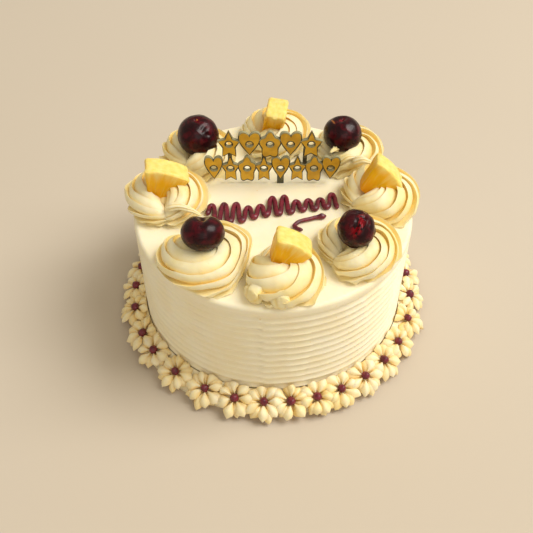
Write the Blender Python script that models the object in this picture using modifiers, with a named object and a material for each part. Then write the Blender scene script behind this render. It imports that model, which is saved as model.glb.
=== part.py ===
"""A small round pineapple cake, in metres, +Z up, with its front towards -Y.

The cake stands on z = 0 with its axis on the Z axis. Its side is combed into level ridges. Eight piped
rosettes ring the top, and carry a cherry and a chunk of pineapple in turn. A fretwork topper stands on
a peg behind a line of piping, and a border of piped flowers runs round the foot.
"""

import math
import random
from dataclasses import dataclass

import bmesh
import bpy
from mathutils import Matrix, Vector

MM = 0.001
GAP = 0.3 * MM  # left between pieces that touch
SOCKET_GAP = 0.4 * MM  # left round the fruit, whose faces are coarser
WELD = 0.001 * MM  # points closer than this are one point
FLAT_ANGLE = math.radians(0.5)  # faces that turn by less are one flat face

CAKE_RADIUS = 80 * MM
CAKE_HEIGHT = 80 * MM
CAKE_SIDES = 40
EDGE_ROUND = 3 * MM
EDGE_STEPS = 3
COMB_RIDGES = 13
COMB_DEPTH = 1.0 * MM
COMB_LOW = 6 * MM
COMB_HIGH = 75 * MM

ROSETTE_RING_SHARE = 0.46  # the rope's centre line, as a share of the rosette's radius
ROSETTE_FOOT = math.radians(35)  # how far the rope rolls under at its foot
ROSETTE_ROWS = 8
STRAND_DEPTH = 2.4 * MM
STRAND_CREST = 0.24  # where the crest lies across a strand, from its groove
STRAND_PHASES = (0.0, STRAND_CREST, 0.64)  # where the mesh's columns lie across a strand
STRAND_EDGE = 1.4  # how hollow the steep side of a strand is
STRAND_FADE = 0.2  # the strands rise out of the middle over this share of the way to the foot
PRESS_START = 0.75  # a rosette starts to flatten at this share of the way to its neighbour

CHERRY_HOLLOW = (0.30, 0.42)  # at the stem end: depth as a share of the radius, spread in radians
CHERRY_GROOVE = (0.05, 0.35)  # down one side: the same

CHUNK_INNER = 13 * MM
CHUNK_OUTER = 36 * MM
CHUNK_HALF_ANGLE = math.radians(21)
CHUNK_THICK = 12.5 * MM
CHUNK_ARC_STEPS = 6
CHUNK_BEVEL = 1.4 * MM
CHUNK_CORNER = math.radians(40)  # edges that turn by more are bevelled

FLOWER_RING = 86.5 * MM
FLOWER_Z = 6.8 * MM
FLOWER_TILT = math.radians(24)
FLOWER_FIRST = 179.5  # bearing of the first flower, in degrees
FLOWER_STEPS = (12, 14, 10, 14, 14, 12, 11, 10, 10, 10, 11, 11, 11, 13, 13, 12) + (11, 12) * 7 + (11,)
PETALS = 6
PETAL_LENGTH = 11 * MM
FLOWER_ROWS = (
    # (distance out, height above the flower's plane) on a petal, then between two petals, from the dot
    # in the middle of the top to the middle of the foot
    ((0.0, 4.6 * MM), (0.0, 4.6 * MM)),
    ((2.2 * MM, 3.7 * MM), (2.2 * MM, 3.7 * MM)),
    ((2.8 * MM, 2.4 * MM), (2.6 * MM, 1.6 * MM)),
    ((PETAL_LENGTH, 0.8 * MM), (0.76 * PETAL_LENGTH, -0.4 * MM)),
    ((0.0, 0.5 * MM - FLOWER_Z), (0.0, 0.5 * MM - FLOWER_Z)),
)
PETAL_STOP = CAKE_RADIUS + 2 * GAP
FOOT_WIDTH = 12 * MM
FOOT_HEIGHT = 8 * MM

TOPPER_Y = 20 * MM  # the middle of the topper's thickness
TOPPER_THICK = 2.2 * MM
TOPPER_OVERLAP = 1.2 * MM  # by which motifs side by side run into each other
TOPPER_TIERS = (
    # height of the tier's middle, first motif, step between motifs, height of a motif, motifs
    (108.6 * MM, -25.2 * MM, 11.7 * MM, 17.5 * MM, ("star", "heart", "blossom", "heart", "star")),
    (
        91.2 * MM,
        -34.6 * MM,
        9.75 * MM,
        17.8 * MM,
        ("heart", "star", "blossom", "star", "heart", "star", "blossom", "heart"),
    ),
)
TOPPER_HOLE = 1.7 * MM
TOPPER_POSTS = (-24.9 * MM, -5.4 * MM, 18.3 * MM)
TOPPER_POST_SIZE = (2.4 * MM, 11 * MM)
TOPPER_POST_Z = 100 * MM
PEG_X = 4.4 * MM
PEG_WIDTH = 4 * MM
PEG_TOP = 87 * MM
PEG_SUNK = 12 * MM

PIPING_RADIUS = 1.45 * MM
PIPING_START = Vector((-38.5 * MM, -9.0 * MM))
PIPING_END = Vector((37.5 * MM, 1.0 * MM))
PIPING_TURNS = (  # how far each turn of the zigzag lies behind the line from start to end, in mm
    -0.5, 6.5, -8.5, 6.5, -8.0, 4.0, -7.0, 8.5, -5.5, 8.5, -5.0, 3.5, -5.0, 4.0, -4.5, 7.0, -4.0,
)
PIPING_STEPS = 4  # points from one turn to the next
PIPING_LEAN = 0.12  # how far the strokes bow, as a share of the step between turns
UNDERLINE = (  # a stroke below the piping, left to right
    Vector((12.0 * MM, -21.5 * MM)),
    Vector((15.5 * MM, -17.0 * MM)),
    Vector((21.0 * MM, -13.2 * MM)),
    Vector((29.0 * MM, -12.0 * MM)),
)


@dataclass(frozen=True)
class Rosette:
    """One piped rosette: where it stands, its size, and the run of its strands."""

    name: str
    place: Vector
    radius: float
    height: float
    strands_round: int
    strands_over: int
    turn: float


def rosette(name, x, y, radius, height, strands_round, strands_over, turn):
    """A rosette whose numbers are given in millimetres and whose turn is a share of a strand."""
    place = Vector((x * MM, y * MM))
    return Rosette(name, place, radius * MM, height * MM, strands_round, strands_over, turn)


ROSETTES = (
    rosette("back", 0.5, 60.5, 22.8, 16.5, 9, 7, 0.1),
    rosette("back_right", 45.0, 44.0, 22.0, 16.0, 9, 7, 0.6),
    rosette("right", 60.5, 3.0, 23.3, 16.5, 10, 7, 0.3),
    rosette("front_right", 45.0, -39.5, 23.0, 16.0, 10, 6, 0.8),
    rosette("front", 5.0, -57.5, 22.0, 16.0, 9, 7, 0.4),
    rosette("front_left", -35.5, -46.0, 26.3, 16.5, 9, 8, 0.0),
    rosette("left", -61.5, 0.5, 23.8, 17.0, 9, 8, 0.5),
    rosette("back_left", -46.0, 41.5, 22.8, 16.0, 9, 7, 0.2),
)

# Cherries: rosette, centre, width, height, and the tilt of the stem end about X and Y in degrees.
CHERRIES = (
    ("back_right", (41.4, 41.5, 99.2), 22.9, 21.6, (-20, 10)),
    ("front_right", (42.7, -42.6, 101.8), 21.2, 22.0, (-25, -15)),
    ("front_left", (-36.5, -46.5, 102.4), 24.3, 19.4, (-35, 0)),
    ("back_left", (-44.5, 41.0, 98.6), 24.5, 23.6, (18, 8)),
)

# Pineapple chunks: rosette, foot, lean to the right and turn about the vertical in degrees, size.
CHUNKS = (
    ("back", (-0.2, 59.0, 87.7), 9, 83, 0.87),
    ("right", (52.5, 4.0, 88.9), 46, -11, 0.89),
    ("front", (1.4, -55.0, 90.0), 32, 0, 0.85),
    ("left", (-67.0, 2.0, 84.8), 23, 9, 1.02),
)


def clear_scene():
    """Empties the scene of the objects that Blender starts with."""
    for old in list(bpy.data.objects):
        bpy.data.objects.remove(old, do_unlink=True)


def make_material(name, colour, roughness, metallic=0.0):
    """A Principled material with one colour."""
    material = bpy.data.materials.new(name)
    material.use_nodes = True
    shader = material.node_tree.nodes["Principled BSDF"]
    shader.inputs["Base Color"].default_value = (*colour, 1.0)
    shader.inputs["Roughness"].default_value = roughness
    shader.inputs["Metallic"].default_value = metallic
    return material


def add_object(name, data, collection, material=None):
    """Links an object with this mesh or curve to the collection."""
    made = bpy.data.objects.new(name, data)
    collection.objects.link(made)
    if material:
        data.materials.append(material)
    return made


def add_helper(name, data, collection):
    """Links a cutter, which no render shows."""
    made = add_object(name, data, collection)
    made.hide_render = True
    made.display_type = "WIRE"
    return made


def mesh_of(shape, name):
    """Turns a bmesh into a mesh with its faces pointing outwards."""
    bmesh.ops.recalc_face_normals(shape, faces=shape.faces)
    mesh = bpy.data.meshes.new(name)
    shape.to_mesh(mesh)
    shape.free()
    return mesh


def mesh_from_object(source, name):
    """The evaluated mesh of a curve or of an object with modifiers, in world space and welded."""
    bpy.context.view_layer.update()
    graph = bpy.context.evaluated_depsgraph_get()
    mesh = bpy.data.meshes.new_from_object(source.evaluated_get(graph))
    mesh.transform(source.matrix_world)
    shape = bmesh.new()
    shape.from_mesh(mesh)
    bpy.data.meshes.remove(mesh)
    bmesh.ops.remove_doubles(shape, verts=shape.verts, dist=WELD)
    return mesh_of(shape, name)


def ball(sides, rings):
    """A unit ball as a bmesh, with its poles on Z."""
    shape = bmesh.new()
    bmesh.ops.create_uvsphere(shape, u_segments=sides, v_segments=rings, radius=1.0)
    return shape


def turn_profile(name, points, sides, collection, material=None, ring=False):
    """A solid of revolution about Z from (radius, height) points, top to bottom; a ring closes on itself."""
    mesh = bpy.data.meshes.new(name)
    edges = [(i, i + 1) for i in range(len(points) - 1)]
    if ring:
        edges.append((len(points) - 1, 0))
    mesh.from_pydata([(r, 0.0, z) for r, z in points], edges, [])
    made = add_object(name, mesh, collection, material)
    screw = made.modifiers.new("turn", "SCREW")
    screw.steps = sides
    screw.render_steps = sides
    screw.use_merge_vertices = True
    screw.merge_threshold = 0.0001
    return made


def add_boolean(target, operation, operand):
    """Cuts an object with another, or joins it with another or with a collection."""
    modifier = target.modifiers.new(operation.lower(), "BOOLEAN")
    modifier.operation = operation
    modifier.solver = "EXACT"
    if isinstance(operand, bpy.types.Collection):
        modifier.operand_type = "COLLECTION"
        modifier.collection = operand
    else:
        modifier.object = operand


def join_all(target, collection):
    """Joins everything in the collection to an object for good, and removes what was joined."""
    add_boolean(target, "UNION", collection)
    joined = mesh_from_object(target, target.name)
    shape = bmesh.new()
    shape.from_mesh(joined)
    bmesh.ops.dissolve_limit(shape, angle_limit=FLAT_ANGLE, verts=shape.verts, edges=shape.edges)
    bmesh.ops.triangulate(shape, faces=shape.faces)
    joined = mesh_of(shape, target.name)
    material = target.data.materials[0]
    target.modifiers.clear()
    target.data = joined
    joined.materials.clear()
    joined.materials.append(material)
    for helper in list(collection.objects):
        bpy.data.objects.remove(helper, do_unlink=True)


# ---------------------------------------------------------------- the cake


def cake_profile():
    """The cake's half section: flat top, rounded edge, combed side and flat base."""
    points = [(0.0, CAKE_HEIGHT)]
    for i in range(EDGE_STEPS + 1):
        angle = math.radians(90) * i / EDGE_STEPS
        across = CAKE_RADIUS - EDGE_ROUND + EDGE_ROUND * math.sin(angle)
        points.append((across, CAKE_HEIGHT - EDGE_ROUND + EDGE_ROUND * math.cos(angle)))
    pitch = (COMB_HIGH - COMB_LOW) / COMB_RIDGES
    for i in range(COMB_RIDGES):
        crest = COMB_HIGH - pitch * i
        points.append((CAKE_RADIUS - COMB_DEPTH, crest - 0.45 * pitch))
        points.append((CAKE_RADIUS, crest - pitch))
    points += [(CAKE_RADIUS, 0.0), (0.0, 0.0)]
    return points


def build_cake(parts, cutters, cream):
    """The cake itself, with the slot that the topper's peg stands in."""
    cake = turn_profile("cake_body", cake_profile(), CAKE_SIDES, parts, cream)
    slot = bmesh.new()
    bmesh.ops.create_cube(slot, size=1.0)
    size = Vector((PEG_WIDTH + 2 * GAP, TOPPER_THICK + 2 * GAP, 2 * (PEG_SUNK + GAP)))
    bmesh.ops.scale(slot, verts=slot.verts, vec=size)
    cutter = add_helper("peg_slot", mesh_of(slot, "peg_slot"), cutters)
    cutter.location = (PEG_X, TOPPER_Y, CAKE_HEIGHT)
    add_boolean(cake, "DIFFERENCE", cutter)


# ---------------------------------------------------------------- rosettes


def strand_height(phase):
    """How high a strand stands at a phase, from 0 in its groove to 1 at its crest."""
    across = phase % 1.0
    if across < STRAND_CREST:
        return (across / STRAND_CREST) ** STRAND_EDGE
    return math.cos((across - STRAND_CREST) / (1 - STRAND_CREST) * math.pi / 2)


def pressed(reach, limit):
    """Eases a reach that would pass a neighbour, so that it ends just short of the limit."""
    start = PRESS_START * limit
    if reach <= start:
        return reach
    room = limit - start
    return start + room * (1 - math.exp((start - reach) / room))


def neighbour_limits(own):
    """The directions to the rosettes nearby, and how far this one may reach in each."""
    limits = []
    for other in ROSETTES:
        away = other.place - own.place
        if 0 < away.length < 1.3 * (own.radius + other.radius):
            share = own.radius / (own.radius + other.radius)
            limits.append((away.normalized(), away.length * share - GAP))
    return limits


def rosette_point(own, phase, share):
    """A point on a rosette: its bearing, distance out and height. The share runs from 0 in the middle of
    the top over the rope to 1 at its foot, and the phase counts strands round the rosette."""
    ring = ROSETTE_RING_SHARE * own.radius - STRAND_DEPTH / 2
    rope = own.radius - ring - STRAND_DEPTH
    rise = (own.height - STRAND_DEPTH) / (1 + math.sin(ROSETTE_FOOT))
    centre = rise * math.sin(ROSETTE_FOOT)
    inner = math.acos(-ring / rope)
    angle = inner - (ROSETTE_FOOT + inner) * share
    bearing = (own.strands_over * angle + math.tau * (phase + own.turn)) / own.strands_round
    bulge = STRAND_DEPTH * strand_height(phase) * min(1.0, share / STRAND_FADE)
    across = ring + (rope + bulge) * math.cos(angle)
    height = centre + (rise + bulge) * math.sin(angle)
    return bearing, max(across, 0.0), max(height, 0.0)


def rosette_mesh(own):
    """The rosette's mesh about its own centre, with its foot on z = 0 and its columns along the strands."""
    per_strand = len(STRAND_PHASES)
    columns = own.strands_round * per_strand
    shape = ball(columns, ROSETTE_ROWS)
    limits = neighbour_limits(own)
    for vert in shape.verts:
        row = round(math.acos(max(-1.0, min(1.0, vert.co.z))) / math.pi * ROSETTE_ROWS)
        if row == ROSETTE_ROWS:
            vert.co = (0.0, 0.0, 0.0)
            continue
        strand, place = divmod(round(math.atan2(vert.co.y, vert.co.x) / math.tau * columns), per_strand)
        phase = strand + STRAND_PHASES[place]
        bearing, across, height = rosette_point(own, phase, row / (ROSETTE_ROWS - 1))
        if row == 0:
            across = 0.0
        spot = Vector((math.cos(bearing), math.sin(bearing))) * across
        for direction, limit in limits:
            reach = spot.dot(direction)
            spot += direction * (pressed(reach, limit) - reach)
        vert.co = (spot.x, spot.y, height)
    mesh = mesh_of(shape, "rosette_" + own.name)
    mesh.shade_smooth()
    return mesh


def swollen(mesh, name):
    """A copy of a closed mesh with every vertex moved out by the gap, to cut a socket with."""
    shape = bmesh.new()
    shape.from_mesh(mesh)
    shape.normal_update()
    moves = [vert.normal * SOCKET_GAP for vert in shape.verts]
    for vert, move in zip(shape.verts, moves):
        vert.co += move
    return mesh_of(shape, name)


def build_rosettes(parts, cutters, cream, fruit):
    """Every rosette, each with a socket for the fruit that is pressed into it."""
    for own in ROSETTES:
        made = add_object("rosette_" + own.name, rosette_mesh(own), parts, cream)
        made.location = (own.place.x, own.place.y, CAKE_HEIGHT + GAP)
        piece = fruit[own.name]
        cutter = add_helper("socket_" + own.name, swollen(piece.data, "socket_" + own.name), cutters)
        cutter.matrix_world = piece.matrix_world
        add_boolean(made, "DIFFERENCE", cutter)


# ---------------------------------------------------------------- fruit


def cherry_mesh(width, height):
    """A cherry about its middle: a flattened ball with a hollow at the stem end and a faint groove."""
    shape = ball(12, 8)
    for vert in shape.verts:
        lean = math.acos(max(-1.0, min(1.0, vert.co.z)))
        bearing = math.atan2(vert.co.y, vert.co.x)
        hollow = CHERRY_HOLLOW[0] * math.exp(-((lean / CHERRY_HOLLOW[1]) ** 2))
        groove = CHERRY_GROOVE[0] * math.exp(-((bearing / CHERRY_GROOVE[1]) ** 2)) * math.sin(lean)
        vert.co *= 1 - hollow - groove
        vert.co = (vert.co.x * width / 2, vert.co.y * width / 2, vert.co.z * height / 2)
    mesh = mesh_of(shape, "cherry")
    mesh.shade_smooth()
    return mesh


def build_cherries(parts, flesh):
    """The four cherries."""
    made = {}
    for seat, (x, y, z), width, height, (tilt_x, tilt_y) in CHERRIES:
        cherry = add_object("cherry_" + seat, cherry_mesh(width * MM, height * MM), parts, flesh)
        cherry.location = (x * MM, y * MM, z * MM)
        cherry.rotation_euler = (math.radians(tilt_x), math.radians(tilt_y), 0.0)
        made[seat] = cherry
    return made


def chunk_outline():
    """The outline of a pineapple chunk: a sector of a ring, its inner arc's middle at the origin."""
    points = []
    for radius, first, last in (
        (CHUNK_OUTER, -CHUNK_HALF_ANGLE, CHUNK_HALF_ANGLE),
        (CHUNK_INNER, CHUNK_HALF_ANGLE, -CHUNK_HALF_ANGLE),
    ):
        steps = CHUNK_ARC_STEPS if radius == CHUNK_OUTER else CHUNK_ARC_STEPS // 2
        for i in range(steps + 1):
            angle = first + (last - first) * i / steps
            points.append((radius * math.sin(angle), radius * math.cos(angle) - CHUNK_INNER))
    return points


def flat_plate(name, outlines, thickness, bevel=0.0):
    """A mesh plate in the XZ plane, centred on Y, from closed outlines of which later ones are holes."""
    curve = bpy.data.curves.new(name, "CURVE")
    curve.dimensions = "2D"
    curve.fill_mode = "BOTH"
    curve.extrude = thickness / 2
    for outline in outlines:
        spline = curve.splines.new("POLY")
        spline.points.add(len(outline) - 1)
        for point, (x, z) in zip(spline.points, outline):
            point.co = (x, z, 0.0, 1.0)
        spline.use_cyclic_u = True
    made = bpy.data.objects.new(name, curve)
    bpy.context.scene.collection.objects.link(made)
    made.rotation_euler = (math.radians(90), 0.0, 0.0)
    mesh = mesh_from_object(made, name)
    bpy.data.objects.remove(made)
    bpy.data.curves.remove(curve)
    if bevel:
        shape = bmesh.new()
        shape.from_mesh(mesh)
        bmesh.ops.dissolve_limit(shape, angle_limit=FLAT_ANGLE, verts=shape.verts, edges=shape.edges)
        sharp = [edge for edge in shape.edges if edge.calc_face_angle(0.0) > CHUNK_CORNER]
        bmesh.ops.bevel(shape, geom=sharp, offset=bevel, segments=1, affect="EDGES")
        bmesh.ops.triangulate(shape, faces=shape.faces)
        mesh = mesh_of(shape, name)
    return mesh


def build_chunks(parts, flesh):
    """The four pineapple chunks."""
    made = {}
    for seat, (x, y, z), lean, turn, size in CHUNKS:
        outline = [(size * u, size * w) for u, w in chunk_outline()]
        mesh = flat_plate("pineapple_" + seat, [outline], CHUNK_THICK, CHUNK_BEVEL)
        chunk = add_object("pineapple_" + seat, mesh, parts, flesh)
        upright = Matrix.Rotation(math.radians(lean), 4, "Y") @ Matrix.Rotation(math.radians(turn), 4, "Z")
        chunk.matrix_world = Matrix.Translation(Vector((x, y, z)) * MM) @ upright
        made[seat] = chunk
    return made


# ---------------------------------------------------------------- border of piped flowers


def flower_mesh(place, draw):
    """One flower: ridged petals round a dot, over a foot; petals that reach the cake lie up its side."""
    columns = 2 * PETALS
    rows = len(FLOWER_ROWS) - 1
    shape = ball(columns, rows)
    first = draw.uniform(0, math.tau)
    shares = [draw.uniform(0.9, 1.08) for _ in range(PETALS)]
    for vert in shape.verts:
        row = round(math.acos(max(-1.0, min(1.0, vert.co.z))) / math.pi * rows)
        bearing = math.atan2(vert.co.y, vert.co.x)
        column = round(bearing / math.tau * columns) % columns
        out, height = FLOWER_ROWS[row][column % 2]
        if out > FLOWER_ROWS[1][0][0]:
            out *= shares[column // 2]
        spin = first + bearing
        vert.co = place @ Vector((out * math.cos(spin), out * math.sin(spin), height))
        reach = vert.co.xy.length
        if reach < PETAL_STOP:
            vert.co.xy *= PETAL_STOP / reach
    return mesh_of(shape, "flower")


def build_border(parts, scraps, cream):
    """The flowers round the foot, on a low collar of cream that joins them into one ring."""
    draw = random.Random(7)
    inner = CAKE_RADIUS + GAP / math.cos(math.pi / CAKE_SIDES)
    collar = [(inner, FOOT_HEIGHT), (CAKE_RADIUS + FOOT_WIDTH, 0.0), (inner, 0.0)]
    border = turn_profile("flower_border", collar, CAKE_SIDES, parts, cream, ring=True)
    bearing = FLOWER_FIRST
    for step in FLOWER_STEPS:
        place = (
            Matrix.Rotation(math.radians(bearing - 90), 4, "Z")
            @ Matrix.Translation((0.0, FLOWER_RING, FLOWER_Z))
            @ Matrix.Rotation(-FLOWER_TILT, 4, "X")
        )
        add_helper("flower", flower_mesh(place, draw), scraps)
        bearing += step
    join_all(border, scraps)


# ---------------------------------------------------------------- topper


def star_outline():
    """A five-pointed star with one point up, which fills a box 2 wide and 2 high."""
    points = []
    for i in range(10):
        reach = 1.0 if i % 2 == 0 else 0.58
        angle = math.tau * i / 10
        points.append((reach * math.sin(angle) / 0.95, (reach * math.cos(angle) - 0.1) / 0.9))
    return points


def heart_outline():
    """A plump heart with its point down, which fills a box 2 wide and 2 high."""
    points = []
    for i in range(12):
        angle = math.tau * i / 12
        height = 13 * math.cos(angle) - 5 * math.cos(2 * angle) - 2 * math.cos(3 * angle)
        points.append((math.sin(angle) ** 3, (height + 2.5) / 14.5))
    return points


def blossom_outline():
    """A flower with five round petals, one of them up, which fills a box 2 wide and 2 high."""
    points = []
    for i in range(15):
        angle = math.tau * i / 15
        reach = 0.88 + 0.12 * math.cos(5 * angle)
        points.append((reach * math.sin(angle) / 0.95, (reach * math.cos(angle) - 0.1) / 0.9))
    return points


def round_hole(radius, sides=6):
    """A small round hole."""
    angles = [math.tau * (i + 0.5) / sides for i in range(sides)]
    return [(radius * math.sin(angle), radius * math.cos(angle)) for angle in angles]


def box_outline(width, height):
    """A rectangle centred on the origin."""
    return scaled([(-1, -1), (1, -1), (1, 1), (-1, 1)], width, height)


def scaled(outline, width, height):
    """An outline stretched from a box 2 by 2 to this width and height."""
    return [(x * width / 2, z * height / 2) for x, z in outline]


def shifted(outline, x, z):
    """An outline moved in its plane."""
    return [(u + x, w + z) for u, w in outline]


def build_topper(parts, scraps, gold):
    """Two tiers of cut-out motifs, joined by posts, over a peg that stands in the cake."""
    outlines = {"star": star_outline(), "heart": heart_outline(), "blossom": blossom_outline()}
    plates = []
    for middle, first, step, height, motifs in TOPPER_TIERS:
        for i, motif in enumerate(motifs):
            x = first + step * i
            outline = scaled(outlines[motif], step + TOPPER_OVERLAP, height)
            plates.append([shifted(outline, x, middle), shifted(round_hole(TOPPER_HOLE), x, middle)])
    for x in TOPPER_POSTS:
        plates.append([shifted(box_outline(*TOPPER_POST_SIZE), x, TOPPER_POST_Z)])
    low = CAKE_HEIGHT - PEG_SUNK
    plates.append([shifted(box_outline(PEG_WIDTH, PEG_TOP - low), PEG_X, (PEG_TOP + low) / 2)])
    meshes = [flat_plate("plate", plate, TOPPER_THICK) for plate in plates]
    topper = add_object("topper", meshes[0], parts, gold)
    for mesh in meshes[1:]:
        add_helper("plate", mesh, scraps)
    join_all(topper, scraps)
    topper.location = (0.0, TOPPER_Y, 0.0)


# ---------------------------------------------------------------- piping


def piped_line(name, points, parts, icing):
    """A round line of icing that lies on the cake's top along these points."""
    curve = bpy.data.curves.new(name, "CURVE")
    curve.dimensions = "3D"
    curve.bevel_depth = PIPING_RADIUS
    curve.bevel_resolution = 1
    curve.use_fill_caps = True
    spline = curve.splines.new("POLY")
    spline.points.add(len(points) - 1)
    for i, (point, spot) in enumerate(zip(spline.points, points)):
        point.co = (spot.x, spot.y, CAKE_HEIGHT + GAP + PIPING_RADIUS, 1.0)
        point.radius = 0.6 if i in (0, len(points) - 1) else 1.0
    return add_object(name, curve, parts, icing)


def zigzag_points():
    """A rounded zigzag that runs from PIPING_START to PIPING_END by way of its turns."""
    points = []
    stretches = len(PIPING_TURNS) - 1
    step = (PIPING_END.x - PIPING_START.x) / stretches
    for i, (turn, following) in enumerate(zip(PIPING_TURNS, PIPING_TURNS[1:])):
        for j in range(PIPING_STEPS):
            part = j / PIPING_STEPS
            along = PIPING_START.lerp(PIPING_END, (i + part) / stretches)
            ease = (1 - math.cos(math.pi * part)) / 2
            rise = (turn + (following - turn) * ease) * MM
            points.append(along + Vector((-PIPING_LEAN * step * math.sin(math.tau * part), rise)))
    return points + [PIPING_END + Vector((0.0, PIPING_TURNS[-1] * MM))]


def underline_points(steps=4):
    """The short stroke below, as a smooth run through its corner points."""
    points = []
    for a, b in zip(UNDERLINE, UNDERLINE[1:]):
        points += [a.lerp(b, i / steps) for i in range(steps)]
    return points + [UNDERLINE[-1]]


# ---------------------------------------------------------------- the whole


def new_collection(name):
    """A collection in the scene."""
    made = bpy.data.collections.new(name)
    bpy.context.scene.collection.children.link(made)
    return made


def main():
    """Builds the cake."""
    clear_scene()
    parts = new_collection("pineapple_cake")
    cutters = new_collection("cutters")
    petals = new_collection("petals")
    plates = new_collection("plates")
    cream = make_material("cream", (0.93, 0.86, 0.66), 0.5)
    cherry = make_material("cherry", (0.12, 0.01, 0.02), 0.2)
    pineapple = make_material("pineapple", (0.93, 0.70, 0.22), 0.35)
    gold = make_material("gold", (0.72, 0.50, 0.10), 0.35, 0.8)
    icing = make_material("icing", (0.22, 0.03, 0.07), 0.35)

    build_cake(parts, cutters, cream)
    fruit = {**build_cherries(parts, cherry), **build_chunks(parts, pineapple)}
    bpy.context.view_layer.update()
    build_rosettes(parts, cutters, cream, fruit)
    build_border(parts, petals, cream)
    build_topper(parts, plates, gold)
    piped_line("piping", zigzag_points(), parts, icing)
    piped_line("piped_underline", underline_points(), parts, icing)


main()
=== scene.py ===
"""The looks of a small round pineapple cake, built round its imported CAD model.

Everything is in metres, +Z up, with the cake's front towards -Y and its underside on z = 0. Each sub-assembly
is a class that holds its sizes and builds its own pieces, and main() builds them in order.
"""

import logging
import math
import random
from dataclasses import dataclass
from enum import Enum
from typing import Any, Callable, Sequence

import bmesh
import bpy
from mathutils import Euler, Matrix, Vector, noise


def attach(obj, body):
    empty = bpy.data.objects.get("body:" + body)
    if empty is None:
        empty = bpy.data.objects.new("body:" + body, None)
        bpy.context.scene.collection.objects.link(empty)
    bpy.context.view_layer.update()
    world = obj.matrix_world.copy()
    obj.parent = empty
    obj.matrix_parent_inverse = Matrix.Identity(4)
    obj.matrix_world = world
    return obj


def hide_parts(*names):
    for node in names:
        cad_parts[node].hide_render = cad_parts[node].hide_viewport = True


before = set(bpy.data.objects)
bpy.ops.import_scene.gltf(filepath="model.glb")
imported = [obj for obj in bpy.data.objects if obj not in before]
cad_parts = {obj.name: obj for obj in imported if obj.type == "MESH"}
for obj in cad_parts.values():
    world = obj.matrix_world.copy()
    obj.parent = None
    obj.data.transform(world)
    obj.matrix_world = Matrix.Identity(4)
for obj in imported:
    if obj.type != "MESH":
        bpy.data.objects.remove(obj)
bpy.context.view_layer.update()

LOG = logging.getLogger("pineapple_cake")

MM = 0.001
GAP = 0.3 * MM  # left between pieces that touch
WELD = 0.001 * MM  # points closer than this are one point
FOLD_ANGLE = math.radians(72)  # folds sharper than this aren't smoothed
NOISE_SEED = 7  # fixes the vector noise, which otherwise changes from run to run
CAKE_RADIUS = 80 * MM
CAKE_HEIGHT = 80 * MM

Colour = tuple[float, float, float, float]
Point = tuple[float, float]
Place = tuple[float, float, float]
Placer = Callable[[bmesh.types.BMVert, int, int], None]


# ---------------------------------------------------------------- small helpers


def paint(red: int, green: int, blue: int) -> Colour:
    """A colour for a node, from its screen values.

    Args:
        red: Red from 0 to 255.
        green: Green from 0 to 255.
        blue: Blue from 0 to 255.

    Returns:
        The linear colour with full alpha.
    """
    shares = [value / 255 for value in (red, green, blue)]
    linear = [share / 12.92 if share <= 0.04045 else ((share + 0.055) / 1.055) ** 2.4 for share in shares]
    return (linear[0], linear[1], linear[2], 1.0)


def clamp(value: float, low: float = 0.0, high: float = 1.0) -> float:
    """The value, kept between low and high."""
    return max(low, min(high, value))


def ease(low: float, high: float, value: float) -> float:
    """A smooth step.

    Args:
        low: Where the step starts.
        high: Where it ends.
        value: Where it is read.

    Returns:
        0 before low, 1 after high and a smooth rise between them.
    """
    share = clamp((value - low) / (high - low))
    return share * share * (3 - 2 * share)


def hill(distance: float, spread: float) -> float:
    """A bell of height 1 whose width is given by its spread."""
    return math.exp(-((distance / spread) ** 2))


def wrapped(angle: float, full: float) -> float:
    """An angle brought to within half a turn of 0, where full is a whole turn in its unit."""
    return (angle + full / 2) % full - full / 2


def ripple(spot: Vector, size: float, seed: float = 0.0) -> float:
    """Smooth random relief.

    Args:
        spot: Where it is read.
        size: How wide its bumps are, in metres.
        seed: Any number, for another relief.

    Returns:
        A value from about -1 to 1.
    """
    return noise.noise(Vector((spot.x / size + seed, spot.y / size - seed, spot.z / size + 0.37 * seed)))


def shove(spot: Vector, size: float, seed: float = 0.0) -> Vector:
    """Smooth random relief in every direction.

    Args:
        spot: Where it is read.
        size: How wide its bumps are, in metres.
        seed: Any number, for another relief.

    Returns:
        A vector with parts from about -1 to 1.
    """
    place = (spot.x / size + seed, spot.y / size - seed, spot.z / size + 0.37 * seed)
    return noise.noise_vector(Vector(place))


def lay_out(shape: bmesh.types.BMesh, columns: int, rows: int, place: Placer) -> None:
    """Adds a ball to a shape and puts each of its points where a formula says.

    Args:
        shape: The shape that the ball is added to.
        columns: Faces round the ball.
        rows: Faces from pole to pole.
        place: Called with each point, its row from 0 to rows, and its column.
    """
    ball = bmesh.ops.create_uvsphere(shape, u_segments=columns, v_segments=rows, radius=1.0)
    for vert in ball["verts"]:
        row = round(math.acos(clamp(vert.co.z, -1.0, 1.0)) / math.pi * rows)
        column = round(math.atan2(vert.co.y, vert.co.x) / math.tau * columns) % columns
        place(vert, row, column)


def join(shape: bmesh.types.BMesh, part: bmesh.types.BMesh) -> None:
    """Adds a small shape to a large one.

    Args:
        shape: The large shape.
        part: The small shape. It is freed.
    """
    mesh = bpy.data.meshes.new("part")
    part.to_mesh(mesh)
    part.free()
    shape.from_mesh(mesh)
    bpy.data.meshes.remove(mesh)


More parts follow.
